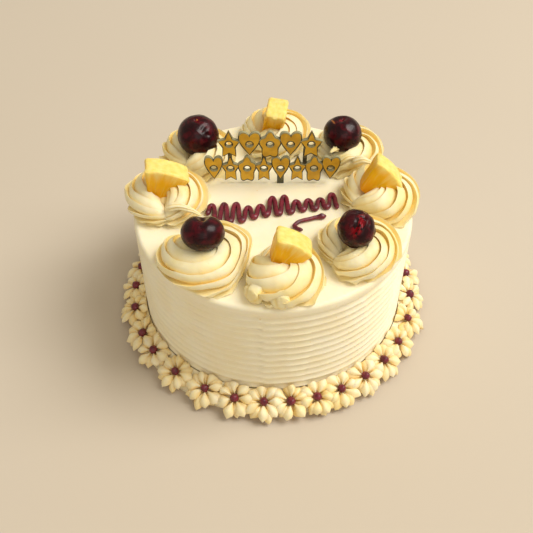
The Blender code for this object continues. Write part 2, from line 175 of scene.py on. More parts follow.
def hand_over(
    shape: bmesh.types.BMesh, name: str, material: bpy.types.Material, nodes: Sequence[str]
) -> bpy.types.Object:
    """Makes a finished shape a piece of the cake.

    Args:
        shape: The piece's shape, in place. It is freed.
        name: The piece's name.
        material: Its finish.
        nodes: The CAD nodes that it stands for.

    Returns:
        The piece's object, which rides on the cake.
    """
    bmesh.ops.recalc_face_normals(shape, faces=shape.faces)
    mesh = bpy.data.meshes.new(name)
    shape.to_mesh(mesh)
    shape.free()
    mesh.shade_smooth()
    mesh.set_sharp_from_angle(angle=FOLD_ANGLE)
    mesh.materials.append(material)
    piece = bpy.data.objects.new(name, mesh)
    bpy.context.scene.collection.objects.link(piece)
    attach(piece, "root")
    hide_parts(*nodes)
    mesh.calc_loop_triangles()
    LOG.info("%s: %d triangles, for %s", name, len(mesh.loop_triangles), ", ".join(nodes))
    return piece


# ---------------------------------------------------------------- materials


class Level:
    """A number that varies over a surface, on which shader maths is written as in Python."""

    def __init__(self, recipe: "Recipe", socket: bpy.types.NodeSocket) -> None:
        """Keeps the number's source.

        Args:
            recipe: The recipe that the number belongs to.
            socket: The socket that gives the number.
        """
        self.recipe = recipe
        self.socket = socket

    def work(self, operation: str, first: Any, second: Any) -> "Level":
        """Adds a Math node.

        Args:
            operation: The node's operation.
            first: A Level or a number.
            second: A Level or a number.

        Returns:
            The result.
        """
        made = self.recipe.node("ShaderNodeMath", {"operation": operation}, {0: first, 1: second})
        return Level(self.recipe, made.outputs[0])

    def __add__(self, other: Any) -> "Level":
        """The sum."""
        return self.work("ADD", self, other)

    def __radd__(self, other: Any) -> "Level":
        """The sum, with the number first."""
        return self.work("ADD", other, self)

    def __sub__(self, other: Any) -> "Level":
        """The difference."""
        return self.work("SUBTRACT", self, other)

    def __rsub__(self, other: Any) -> "Level":
        """The difference, with the number first."""
        return self.work("SUBTRACT", other, self)

    def __mul__(self, other: Any) -> "Level":
        """The product."""
        return self.work("MULTIPLY", self, other)

    def __rmul__(self, other: Any) -> "Level":
        """The product, with the number first."""
        return self.work("MULTIPLY", other, self)

    def __pow__(self, other: Any) -> "Level":
        """The power."""
        return self.work("POWER", self, other)

    def step(self, low: float, high: float) -> "Level":
        """A smooth step over the surface.

        Args:
            low: The value that becomes 0.
            high: The value that becomes 1.

        Returns:
            The stepped number.
        """
        made = self.recipe.node(
            "ShaderNodeMapRange",
            {"interpolation_type": "SMOOTHSTEP"},
            {"Value": self, "From Min": low, "From Max": high, "To Min": 0.0, "To Max": 1.0},
        )
        return Level(self.recipe, made.outputs[0])


class Recipe:
    """A material whose nodes are added by one method."""

    def __init__(self, name: str) -> None:
        """Starts a material with one Principled shader.

        Args:
            name: The material's name.
        """
        self.material = bpy.data.materials.new(name)
        self.material.use_nodes = True
        self.tree = self.material.node_tree
        self.shader = self.tree.nodes["Principled BSDF"]

    def feed(self, socket: bpy.types.NodeSocket, value: Any) -> None:
        """Links or sets a socket.

        Args:
            socket: The input socket.
            value: A Level, an output socket, or a plain value.
        """
        if isinstance(value, Level):
            value = value.socket
        if isinstance(value, bpy.types.NodeSocket):
            self.tree.links.new(value, socket)
        else:
            socket.default_value = value

    def node(self, kind: str, settings: dict[str, Any], sockets: dict[Any, Any]) -> bpy.types.Node:
        """Adds a node.

        Args:
            kind: The node's type.
            settings: Its properties, set first.
            sockets: Its inputs by name or number, with a value, a Level or a socket each.

        Returns:
            The node.
        """
        made = self.tree.nodes.new(kind)
        for key, value in settings.items():
            setattr(made, key, value)
        for key, value in sockets.items():
            self.feed(made.inputs[key], value)
        return made

    def spot(self, *scale: float) -> bpy.types.NodeSocket:
        """Object coordinates.

        Args:
            scale: Three factors that stretch them, or nothing.

        Returns:
            The coordinates' socket.
        """
        place = self.node("ShaderNodeTexCoord", {}, {}).outputs["Object"]
        return self.stretch(place, *scale) if scale else place

    def stretch(self, place: bpy.types.NodeSocket, *scale: float) -> bpy.types.NodeSocket:
        """A place, stretched by three factors."""
        return self.node("ShaderNodeMapping", {}, {"Vector": place, "Scale": scale}).outputs[0]

    def mark(self, name: str) -> Level:
        """A number painted on the piece's own points."""
        return Level(self, self.node("ShaderNodeAttribute", {"attribute_name": name}, {}).outputs["Fac"])

    def way(self, name: str) -> bpy.types.NodeSocket:
        """A place painted on the piece's own points."""
        return self.node("ShaderNodeAttribute", {"attribute_name": name}, {}).outputs["Vector"]

    def cloud(self, size: float, detail: float = 2.0, place: Any = None, warp: float = 0.0) -> Level:
        """Soft random patches.

        Args:
            size: Their size in metres.
            detail: How many finer layers lie on them.
            place: Where they are read, or None for Object coordinates.
            warp: How far they are pulled out of shape.

        Returns:
            A number round 0.5.
        """
        made = self.node(
            "ShaderNodeTexNoise",
            {},
            {"Vector": place or self.spot(), "Scale": 1 / size, "Detail": detail, "Distortion": warp},
        )
        return Level(self, made.outputs["Fac"])

    def cells(self, size: float, place: Any = None) -> Level:
        """The distance from the middle of scattered cells.

        Args:
            size: The cells' size in metres.
            place: Where they are read, or None for Object coordinates.

        Returns:
            0 in a cell's middle, rising outwards.
        """
        made = self.node("ShaderNodeTexVoronoi", {}, {"Vector": place or self.spot(), "Scale": 1 / size})
        return Level(self, made.outputs["Distance"])

    def blend(self, share: Any, first: Any, second: Any) -> bpy.types.NodeSocket:
        """Mixes two colours.

        Args:
            share: How much of the second colour shows.
            first: A colour or its socket.
            second: A colour or its socket.

        Returns:
            The mixed colour.
        """
        made = self.node("ShaderNodeMix", {"data_type": "RGBA"}, {0: share, 6: first, 7: second})
        return made.outputs[2]

    def relief(self, height: Level, depth: float, strength: float = 1.0) -> None:
        """Lets a number stand out of the surface.

        Args:
            height: The number.
            depth: How far 1 stands above 0, in metres.
            strength: How strongly it shows.
        """
        made = self.node("ShaderNodeBump", {}, {"Height": height, "Distance": depth, "Strength": strength})
        self.feed(self.shader.inputs["Normal"], made.outputs[0])

    def gloss(self, **sockets: Any) -> None:
        """Sets the shader's own sockets, which are named with _ for a space."""
        for key, value in sockets.items():
            self.feed(self.shader.inputs[key.replace("_", " ")], value)


@dataclass(frozen=True)
class CreamFinish:
    """Whipped cream: ivory, with painted shade in its grooves, a deeper yellow for their shade and bounced
    light, and with pits and specks.
    """

    name: str
    pale: Colour = paint(249, 238, 200)
    warm: Colour = paint(246, 227, 164)
    # Painted shade: the deeper yellow laid in the grooves for their shade and bounced light.
    groove_shade: Colour = paint(249, 212, 96)
    speck: Colour = paint(244, 206, 110)
    patch_size: float = 16 * MM
    speck_size: float = 5.5 * MM
    speck_field: float = 9 * MM
    pit_size: float = 3.7 * MM
    pit_field: float = 7 * MM
    grain: float = 0.5 * MM
    wave_size: float = 4 * MM
    relief_depth: float = 0.25 * MM
    softness: float = 2.4 * MM
    # Whether the grooves get the painted shade.
    groove_shaded: bool = True

    def material(self) -> bpy.types.Material:
        """Makes the material.

        Returns:
            The cream's material.
        """
        recipe = Recipe(self.name)
        patches = recipe.cloud(self.patch_size, 3).step(0.35, 0.7)
        colour = recipe.blend(patches, self.pale, self.warm)
        specks = recipe.cells(self.speck_size)
        rare = recipe.cloud(self.speck_field, 1).step(0.52, 0.6)
        spots = (1 - specks.step(0.05, 0.1)) * rare
        colour = recipe.blend(spots * 0.55, colour, self.speck)
        # Painted shade in the grooves, read from the points' groove mark.
        if self.groove_shaded:
            colour = recipe.blend(recipe.mark("groove_shade"), colour, self.groove_shade)
        holes = 1 - recipe.cells(self.pit_size).step(0.04, 0.12)
        pits = holes * recipe.cloud(self.pit_field, 1).step(0.5, 0.58)
        grain = recipe.cloud(self.grain, 2)
        waves = recipe.cloud(self.wave_size, 2)
        recipe.relief(grain * 0.25 - pits + waves * 0.8, self.relief_depth, 0.6)
        recipe.gloss(
            Base_Color=colour,
            Roughness=recipe.cloud(3 * MM, 2) * 0.2 + 0.38,
            Subsurface_Weight=0.22,
            Subsurface_Radius=(1.0, 0.88, 0.45),
            Subsurface_Scale=self.softness,
            Specular_IOR_Level=0.35,
        )
        return recipe.material


# The smooth coat gets no painted groove shade; the flower cream's third colour is its painted groove shade.
SMOOTHED = CreamFinish("smoothed_cream", paint(254, 244, 216), paint(253, 240, 206), groove_shaded=False)
PIPED_LOW = CreamFinish("flower_cream", paint(255, 243, 208), paint(253, 233, 180), paint(246, 202, 100))


@dataclass(frozen=True)
class CherryFinish:
    """A ripe dark cherry: nearly black skin, redder flesh where it is torn, and a tan scar."""

    name: str
    skin: Colour = paint(34, 2, 8)
    blush: Colour = paint(84, 4, 20)
    flesh: Colour = paint(138, 6, 22)
    scar: Colour = paint(196, 120, 52)
    mottle_size: float = 5 * MM
    dot_size: float = 1.6 * MM
    streak_size: float = 6 * MM
    dimple_size: float = 2.6 * MM
    relief_depth: float = 0.35 * MM

    def material(self) -> bpy.types.Material:
        """Makes the material.

        Returns:
            The cherry's material.
        """
        recipe = Recipe(self.name)
        mottle = recipe.cloud(self.mottle_size, 3, warp=0.6).step(0.4, 0.75)
        colour = recipe.blend(mottle, self.skin, self.blush)
        dots = 1 - recipe.cells(self.dot_size).step(0.08, 0.2)
        colour = recipe.blend(dots * 0.22, colour, self.blush)
        streaks = recipe.cloud(self.streak_size, 2, warp=1.5).step(0.46, 0.6)
        meat = recipe.blend(streaks, self.flesh, self.skin)
        colour = recipe.blend(recipe.mark("flesh"), colour, meat)
        colour = recipe.blend(recipe.mark("scar"), colour, self.scar)
        dimples = recipe.cloud(self.dimple_size, 3)
        recipe.relief(dimples + recipe.mark("flesh") * streaks * 0.5, self.relief_depth, 0.5)
        recipe.gloss(
            Base_Color=colour,
            Roughness=recipe.cloud(2 * MM, 2) * 0.2 + 0.2,
            Coat_Weight=recipe.cloud(6 * MM, 1).step(0.3, 0.8) * 0.15,
            Coat_Roughness=0.12,
            Specular_IOR_Level=0.2,
        )
        return recipe.material


@dataclass(frozen=True)
class PineappleFinish:
    """Moist pineapple: fibres from the core to the rind, with painted light and shade: pale on the rind side,
    which lies on top, and a deeper yellow towards the core at the bottom.
    """

    name: str
    # Painted light and shade: pale on the upper, rind side, deepening towards the core below.
    pale: Colour = paint(254, 230, 142)
    mid: Colour = paint(250, 188, 6)
    deep: Colour = paint(244, 166, 0)
    fibre_size: float = 0.9 * MM
    bundle_size: float = 2.6 * MM
    relief_depth: float = 0.3 * MM
    softness: float = 4.5 * MM

    def material(self) -> bpy.types.Material:
        """Makes the material.

        Returns:
            The pineapple's material.
        """
        recipe = Recipe(self.name)
        reach = recipe.mark("reach")
        way = recipe.way("slice")
        fibres = recipe.cloud(self.fibre_size, 3, recipe.stretch(way, 1.0, 0.09, 1.0), 0.2)
        wide = recipe.cloud(self.bundle_size, 2, recipe.stretch(way, 1.0, 0.16, 1.0))
        # Painted light and shade: paler towards the top, deeper towards the bottom.
        shade = reach + (wide - 0.5) * 0.5
        colour = recipe.blend(shade.step(0.05, 0.62), self.deep, self.mid)
        colour = recipe.blend(shade.step(0.64, 1.15), colour, self.pale)
        colour = recipe.blend(fibres.step(0.5, 0.72) * 0.28, colour, self.pale)
        recipe.relief(fibres + wide, self.relief_depth, 0.45)
        recipe.gloss(
            Base_Color=colour,
            Roughness=recipe.cloud(2 * MM, 2) * 0.22 + 0.28,
            Specular_IOR_Level=0.3,
            Subsurface_Weight=0.4,
            Subsurface_Radius=(1.0, 0.68, 0.16),
            Subsurface_Scale=self.softness,
        )
        return recipe.material


@dataclass(frozen=True)
class FoilFinish:
    """Gold foil, brushed and slightly worn."""

    name: str
    gold: Colour = paint(228, 180, 44)
    dull: Colour = paint(188, 140, 30)
    brush_size: float = 0.35 * MM
    wear_size: float = 6 * MM
    relief_depth: float = 0.05 * MM

    def material(self) -> bpy.types.Material:
        """Makes the material.

        Returns:
            The foil's material.
        """
        recipe = Recipe(self.name)
        brushed = recipe.cloud(self.brush_size, 2, recipe.spot(1.0, 1.0, 0.1))
        worn = recipe.cloud(self.wear_size, 3).step(0.35, 0.7)
        colour = recipe.blend(worn * 0.6 + brushed * 0.25, self.gold, self.dull)
        recipe.relief(brushed, self.relief_depth, 0.4)
        recipe.gloss(Base_Color=colour, Metallic=0.2, Roughness=brushed * 0.25 + 0.3)
        return recipe.material


@dataclass(frozen=True)
class BoardFinish:
    """The topper's thin board: smoky and dark at its rim, with painted light making the faces that look up
    pale.
    """

    name: str
    dark: Colour = paint(42, 40, 22)
    olive: Colour = paint(92, 84, 40)
    # Painted light: the pale tint of the faces that look up.
    pale: Colour = paint(160, 156, 122)
    smoke_size: float = 2.2 * MM
    grain: float = 1.0 * MM
    relief_depth: float = 0.08 * MM

    def material(self) -> bpy.types.Material:
        """Makes the material.

        Returns:
            The board's material.
        """
        recipe = Recipe(self.name)
        smoke = recipe.cloud(self.smoke_size, 3).step(0.4, 0.75)
        colour = recipe.blend(smoke, self.dark, self.olive)
        # Painted light on the faces that look up.
        colour = recipe.blend(recipe.mark("painted_top_light"), colour, self.pale)
        recipe.relief(recipe.cloud(self.grain, 2), self.relief_depth, 0.4)
        recipe.gloss(Base_Color=colour, Roughness=smoke * 0.2 + 0.22)
        return recipe.material


@dataclass(frozen=True)
class IcingFinish:
    """Plum icing with a satin skin."""

    name: str
    plum: Colour = paint(125, 37, 55)
    deep: Colour = paint(83, 18, 35)
    mottle_size: float = 3 * MM
    grain: float = 0.8 * MM
    relief_depth: float = 0.12 * MM

    def material(self) -> bpy.types.Material:
        """Makes the material.

        Returns:
            The icing's material.
        """
        recipe = Recipe(self.name)
        mottle = recipe.cloud(self.mottle_size, 3).step(0.35, 0.7)
        colour = recipe.blend(mottle, self.plum, self.deep)
        recipe.relief(recipe.cloud(self.grain, 2), self.relief_depth, 0.4)
        recipe.gloss(Base_Color=colour, Roughness=mottle * 0.12 + 0.27, Specular_IOR_Level=0.5)
        return recipe.material


@dataclass(frozen=True)
class FloorFinish:
    """A plain pale floor."""

    name: str
    tone: Colour = paint(210, 199, 184)
    shade: Colour = paint(204, 191, 172)
    patch_size: float = 0.5

    def material(self) -> bpy.types.Material:
        """Makes the material.

        Returns:
            The floor's material.
        """
        recipe = Recipe(self.name)
        colour = recipe.blend(recipe.cloud(self.patch_size, 2), self.tone, self.shade)
        recipe.gloss(Base_Color=colour, Roughness=0.9, Specular_IOR_Level=0.1)
        return recipe.material


# ---------------------------------------------------------------- the cake


@dataclass
class CakeCoat:
    """The cake's coat of cream: a flat top, a rounded edge and a side that a comb has ridged."""

    steps: int = 288
    side_rows: int = 176
    top_rings: int = 22
    edge_steps: int = 8
    edge_round: float = 2.2 * MM
    comb_low: float = 6 * MM
    comb_high: float = 75 * MM
    comb_ridges: int = 13
    comb_depth: float = 1.5 * MM
    comb_sharpness: float = 1.7
    comb_fade: float = 2 * MM
    comb_slope: float = 0.7 * MM
    comb_shiver: float = 0.25 * MM
    seam: float = 265.0
    seam_slip: float = 0.8 * MM
    seam_reach: float = 14.0
    burr_height: float = 0.5 * MM
    burr_width: float = 0.9
    top_unevenness: float = 0.1 * MM
    rim_unevenness: float = 0.5 * MM

    def outline(self) -> list[Point]:
        """The half section of the coat, with a plain side.

        Returns:
            Its points from the middle of the top to the middle of the base.
        """
        flat = CAKE_RADIUS - self.edge_round
        points = [(flat * i / self.top_rings, CAKE_HEIGHT) for i in range(self.top_rings)]
        for i in range(self.edge_steps + 1):
            angle = math.radians(90) * i / self.edge_steps
            across = flat + self.edge_round * math.sin(angle)
            points.append((across, CAKE_HEIGHT - self.edge_round + self.edge_round * math.cos(angle)))
        straight = CAKE_HEIGHT - self.edge_round
        points += [(CAKE_RADIUS, straight * (1 - i / self.side_rows)) for i in range(1, self.side_rows + 1)]
        return points + [(0.0, 0.0)]

    def comb(self, bearing: float, height: float) -> float:
        """How deep the comb has cut at a place on the side.

        Args:
            bearing: Degrees round from +X.
            height: Height above the table.

        Returns:
            The depth below the coat's full radius.
        """
        round_place = Vector((math.cos(math.radians(bearing)), math.sin(math.radians(bearing)), height * 4))
        away = wrapped(bearing - self.seam - 1.4 * ripple(Vector((0, 0, height)), 4 * MM), 360)
        slip = self.seam_slip * math.copysign(math.exp(-abs(away) / self.seam_reach), away)
        waver = self.comb_slope * ripple(round_place, 0.55)
        waver += self.comb_shiver * ripple(round_place, 0.13, 3.0)
        pitch = (self.comb_high - self.comb_low) / self.comb_ridges
        share = ((height + slip + waver - self.comb_low) / pitch) % 1.0
        trough = 1 - abs(2 * share - 1) ** self.comb_sharpness
        inside = ease(self.comb_low - self.comb_fade, self.comb_low + self.comb_fade, height)
        inside *= 1 - ease(self.comb_high - self.comb_fade, self.comb_high + 1.5 * MM, height)
        weight = 0.8 + 0.5 * ripple(round_place, 0.35, 7.0)
        burr = self.burr_height * hill(away, self.burr_width) * max(0.0, ripple(round_place, 0.02, 9.0))
        return self.comb_depth * trough * inside * weight - burr

    def build(self, finish: bpy.types.Material) -> None:
        """Builds the coat.

        Args:
            finish: The cream's material.
        """
        shape = bmesh.new()
        verts = [shape.verts.new((across, 0.0, height)) for across, height in self.outline()]
        edges = [shape.edges.new(pair) for pair in zip(verts, verts[1:])]
        bmesh.ops.spin(
            shape,
            geom=verts + edges,
            cent=(0, 0, 0),
            axis=(0, 0, 1),
            angle=math.tau,
            steps=self.steps,
            use_merge=True,
        )
        bmesh.ops.remove_doubles(shape, verts=shape.verts, dist=WELD)
        for vert in shape.verts:
            across = vert.co.xy.length
            if vert.co.z <= WELD or across < WELD:
                continue
            bearing = math.degrees(math.atan2(vert.co.y, vert.co.x))
            if across > CAKE_RADIUS - WELD:
                vert.co.xy *= 1 - self.comb(bearing, vert.co.z) / across
            top = ease(CAKE_HEIGHT - 2 * self.edge_round, CAKE_HEIGHT, vert.co.z)
            swells = 1 + ripple(vert.co, 26 * MM, 2.0) + 0.4 * ripple(vert.co, 8 * MM, 4.0)
            vert.co.z -= top * self.top_unevenness * swells
            edge = hill(across - CAKE_RADIUS + 1 * MM, 3 * MM) * top
            vert.co.xy *= 1 - edge * self.rim_unevenness * (0.5 + ripple(vert.co, 14 * MM, 6.0)) / across
        hand_over(shape, "cake_coat", finish, ["cake_body"])


# ---------------------------------------------------------------- rosettes


@dataclass
class Rosette:
    """One piped rosette: a ribbed rope laid clockwise in a ring, that starts thin and ends in a knot.

    Its place, radius and height are in millimetres, and its knot is in degrees round from +X.
    """

    name: str
    x: float
    y: float
    radius: float
    height: float
    strands: int
    twist: float
    turn: float
    knot: float
    seed: float
    lobes: tuple[Place, ...] = ()  # at the foot: degrees round, millimetres out, degrees wide
    lobe_spread: float = 0.5
    pleats: int = 13
    pleat_depth: float = 2.4 * MM
    pleat_slant: float = 1.6
    pleat_stray: float = 0.9
    pleat_place: float = math.radians(38)
    pleat_spread: float = 0.42
    ring_share: float = 0.46
    foot: float = math.radians(35)
    skirt_place: float = math.radians(25)
    skirt_spread: float = 0.6
    skirt_sink: float = 1.2 * MM
    skirt_flare: float = 0.4
    depth: float = 2.9 * MM
    crest: float = 0.12
    curl: float = 0.3
    curl_power: float = 1.5
    stray: float = 0.3
    unevenness: float = 0.45
    overlap: float = 18.0
    knot_share: float = 0.66
    knot_height: float = 3.5 * MM
    slimness: float = 0.42
    columns_up: int = 5
    columns_down: int = 10
    rows: int = 190
    press_start: float = 0.75
    rim_room: float = 1.6 * MM
    rim_give: float = 0.15
    sunk_share: float = 0.5
    lump: Point = (0.4 * MM, 9 * MM)  # height and width
    dimple: Point = (0.15 * MM, 3.5 * MM)
    # How strong the painted shade in the grooves is.
    groove_shade_share: float = 0.62
    mound_columns: int = 48
    mound_rows: int = 24
    mound_width: float = 0.46
    mound_height: float = 0.56
    mound_sunk: float = 0.2
    mound_ribs: int = 8
    mound_rib_depth: float = 0.09
    # Painted shade over the mound in the ring's hollow.
    mound_shade: float = 0.35

    @property
    def centre(self) -> Vector:
        """The rosette's middle."""
        return Vector((self.x * MM, self.y * MM))

    @property
    def reach(self) -> float:
        """The rosette's radius in metres."""
        return self.radius * MM

    def strand_places(self) -> list[float]:
        """Where the columns lie across a strand: closest at its groove and its crest.

        Returns:
            The places, from 0 at the groove to nearly 1 at the next one.
        """
        rising = [self.crest * i / self.columns_up for i in range(self.columns_up)]
        shares = [(i / self.columns_down) ** 1.2 for i in range(self.columns_down)]
        return rising + [self.crest + (1 - self.crest) * share for share in shares]

    def strand_height(self, across: float) -> float:
        """How high a strand stands, from 0 in its groove to 1 at its sharp crest.

        Args:
            across: The place across the strand, from 0 to 1.

        Returns:
            The height as a share of the strand's depth.
        """
        if across < self.crest:
            return across / self.crest
        down = (across - self.crest) / (1 - self.crest)
        return 1 - 0.3 * down - 0.7 * down**2.6

    def swell(self, share: float) -> float:
        """How thick the rope is, from 0 at its ends to 1.

        Args:
            share: The place along the rope, from 0 to 1.

        Returns:
            The thickness as a share of the full one.
        """
        start = clamp(share / 0.36) ** 0.5
        end = math.sqrt(max(0.0, 1 - clamp((share - 0.8) / 0.2) ** 2))
        return start * end

    def pressed(self, spot: Vector, limits: Sequence[tuple[Vector, float]]) -> Vector:
        """Eases a point back where it would pass into a neighbour.

        Args:
            spot: The point from the rosette's middle.
            limits: Directions to the neighbours, and how far this rosette may reach in each.

        Returns:
            The eased point.
        """
        for direction, limit in limits:
            reach, start = spot.dot(direction), self.press_start * limit
            if reach > start:
                room = limit - start
                spot = spot + direction * (start + room * (1 - math.exp((start - reach) / room)) - reach)
        return spot

    def limits(self, others: Sequence["Rosette"]) -> list[tuple[Vector, float]]:
        """Where the rosettes nearby stop this one.

        Args:
            others: Every rosette on the cake.

        Returns:
            The directions to those nearby, and how far this one may reach in each.
        """
        found = []
        for other in others:
            away = other.centre - self.centre
            if 0 < away.length < 1.3 * (self.reach + other.reach):
                share = self.reach / (self.reach + other.reach)
                found.append((away.normalized(), away.length * share - GAP))
        return found

    def bearing(self, share: float) -> float:
        """Where round the ring the rope is, in radians, at a share of its length."""
        return math.radians(self.knot + self.overlap / 2 + 360 - (360 + self.overlap) * share)

    def skirt(self, bearing: float, down: float, own: float, thick: float) -> float:
        """How far the lobes and pleats at the foot stand out.

        Args:
            bearing: Where round the ring, in radians.
            down: The angle round the rope, 0 outwards and below 0 downwards.
            own: The strand's own depth, as a share of the usual one.
            thick: The rope's thickness, from 0 to 1.

        Returns:
            The distance above the rope.
        """
        out = 0.0
        for azimuth, reach, width in self.lobes:
            away = wrapped(math.degrees(bearing) - azimuth, 360)
            out += reach * MM * hill(away, width) * hill(down + self.skirt_place, self.lobe_spread)
        phase = self.pleats * bearing / 2 + self.pleat_slant * down + self.pleat_stray * own + self.seed
        point = 1 - abs(math.sin(phase)) - 0.5
        return out + self.pleat_depth * point * hill(down + self.pleat_place, self.pleat_spread) * thick

    def gold(self, across: float, high: float, down: float, thick: float) -> float:
        """How much painted shade the cream gets, a deeper yellow: deepest in the grooves and on the steep
        sides of the strands, weaker towards the foot and where the rope thins.

        Args:
            across: The place across the strand, from 0 to 1.
            high: The strand's height there, from 0 to 1.
            down: The angle round the rope, 0 outwards and below 0 downwards.
            thick: The rope's thickness, from 0 to 1.

        Returns:
            The share of the painted groove shade.
        """
        deep = (1 - 0.85 * high**3) if across < self.crest else (1 - high) ** 2.2
        return self.groove_shade_share * deep * (0.4 + 0.6 * thick) * (0.45 + 0.55 * ease(-0.5, 0.3, down))

    def settled(self, free: Vector) -> Vector:
        """Puts a point on the cake: inside its rim, and only a little into its coat.

        Args:
            free: The point, from the middle of the rosette's foot.

        Returns:
            The point from the middle of the cake's top.
        """
        spot = self.centre + free.xy
        edge = CAKE_RADIUS - self.rim_room + free.z
        if spot.length > edge:
            spot *= (edge + self.rim_give * (spot.length - edge)) / spot.length
        return Vector((spot.x, spot.y, free.z if free.z > 0 else self.sunk_share * free.z))

    def build(self, finish: bpy.types.Material, others: Sequence["Rosette"]) -> None:
        """Builds the rosette.

        Args:
            finish: The cream's material.
            others: Every rosette on the cake.
        """
        shape = bmesh.new()
        # The painted groove shade, a share for each point.
        groove_shade = shape.verts.layers.float.new("groove_shade")
        limits = self.limits(others)
        places = self.strand_places()
        ring = self.ring_share * self.reach - self.depth / 2
        rope = self.reach - ring - self.depth
        rise = (self.height * MM - self.depth) / (1 + math.sin(self.foot))
        depth = min(self.depth, self.slimness * math.tau * rope / self.strands)
        low = Vector((0, 0, CAKE_HEIGHT + GAP / 2))

        def along_rope(vert: bmesh.types.BMVert, row: int, column: int) -> None:
            """Puts a point of the rope in its place.

            Args:
                vert: The point.
                row: Its row, from 0 to the last, at the knot.
                column: Its column round the rope.
            """
            share = row / self.rows
            bearing, thick = self.bearing(share), self.swell(share)
            strand, place = divmod(column, len(places))
            wander = noise.noise(Vector((strand * 3.7 + places[place], share * 5, self.seed)))
            phase = strand + places[place] + self.stray * wander
            over = self.twist * bearing - math.tau * (phase + self.turn) / self.strands
            own = 1 + self.unevenness * noise.noise(Vector((strand * 5.1 + self.seed, share * 6, self.seed)))
            high = self.strand_height(places[place])
            down = wrapped(over, math.tau)
            foot = hill(down + self.skirt_place, self.skirt_spread)
            bulge = (depth * high * own * (1 + foot) - self.skirt_sink * foot) * min(1.0, thick * 1.2)
            bulge += self.skirt(bearing, down, own, thick)
            over += self.curl * math.tau / self.strands * high**self.curl_power
            down = wrapped(over, math.tau)
            middle = ring + (self.knot_share * self.reach - ring) * (1 - thick)
            lift = rise * math.sin(self.foot) * thick + self.knot_height * (1 - thick)
            outward = math.cos(self.skirt_flare * down) if -math.pi / 2 < down < 0 else math.cos(over)
            height = lift + (rise * thick + bulge) * math.sin(over)
            across = middle + (rope * thick + bulge) * outward
            spot = self.pressed(Vector((math.cos(bearing), math.sin(bearing))) * across, limits)
            free = Vector((spot.x, spot.y, height))
            lumps = self.lump[0] * shove(free, self.lump[1], self.seed)
            free += lumps + self.dimple[0] * shove(free, self.dimple[1], self.seed)
            vert.co = self.settled(free) + low
            # Painted shade in the grooves and on the strands' steep sides.
            vert[groove_shade] = self.gold(places[place], high, down, thick)

        def mound(vert: bmesh.types.BMVert, row: int, column: int) -> None:
            """Puts a point of the ribbed mound that fills the ring in its place.

            Args:
                vert: The point.
                row: Its row, from 0 to the last, from the top down.
                column: Its column round the mound.
            """
            lean = math.pi * row / self.mound_rows
            bearing = math.tau * column / self.mound_columns
            rib = 1 + self.mound_rib_depth * math.cos(self.mound_ribs * bearing + 3 * lean)
            flat = self.mound_width * self.reach * math.sin(lean) * rib
            tall = self.mound_height * self.height * MM * math.cos(lean)
            tall *= 1.0 if lean < math.pi / 2 else self.mound_sunk
            x, y = self.centre.x + flat * math.cos(bearing), self.centre.y + flat * math.sin(bearing)
            vert.co = Vector((x, y, tall)) + low
            # Painted shade, even over the mound.
            vert[groove_shade] = self.mound_shade

        lay_out(shape, self.strands * len(places), self.rows, along_rope)
        lay_out(shape, self.mound_columns, self.mound_rows, mound)
        hand_over(shape, f"cream_{self.name}", finish, [f"rosette_{self.name}"])


FRONT_LOBES = ((228.0, -3.2, 12.0), (262.0, -3.0, 12.0), (311.0, 1.0, 12.0))

ROSETTES = (
    Rosette("back", 0.5, 60.5, 22.8, 16.5, 10, 0.9, 0.1, 215, 1.3),
    Rosette("back_right", 45.0, 44.0, 22.0, 16.0, 10, 0.85, 0.6, 225, 2.1),
    Rosette("right", 60.5, 3.0, 23.3, 16.5, 9, 1.1, 0.81, 211, 3.7),
    Rosette("front_right", 45.0, -39.5, 23.0, 16.0, 11, 0.85, 0.25, 221, 4.4),
    Rosette("front", 5.0, -57.5, 22.0, 16.0, 9, 0.75, 0.25, 146, 5.9, FRONT_LOBES),
    Rosette("front_left", -35.5, -46.0, 26.3, 16.5, 13, 0.4, 0.3, 140, 6.2),
    Rosette("left", -61.5, 0.5, 23.8, 17.0, 11, 0.6, 0.5, 280, 7.8),
    Rosette("back_left", -46.0, 41.5, 22.8, 16.0, 10, 0.85, 0.2, 250, 8.5),
)


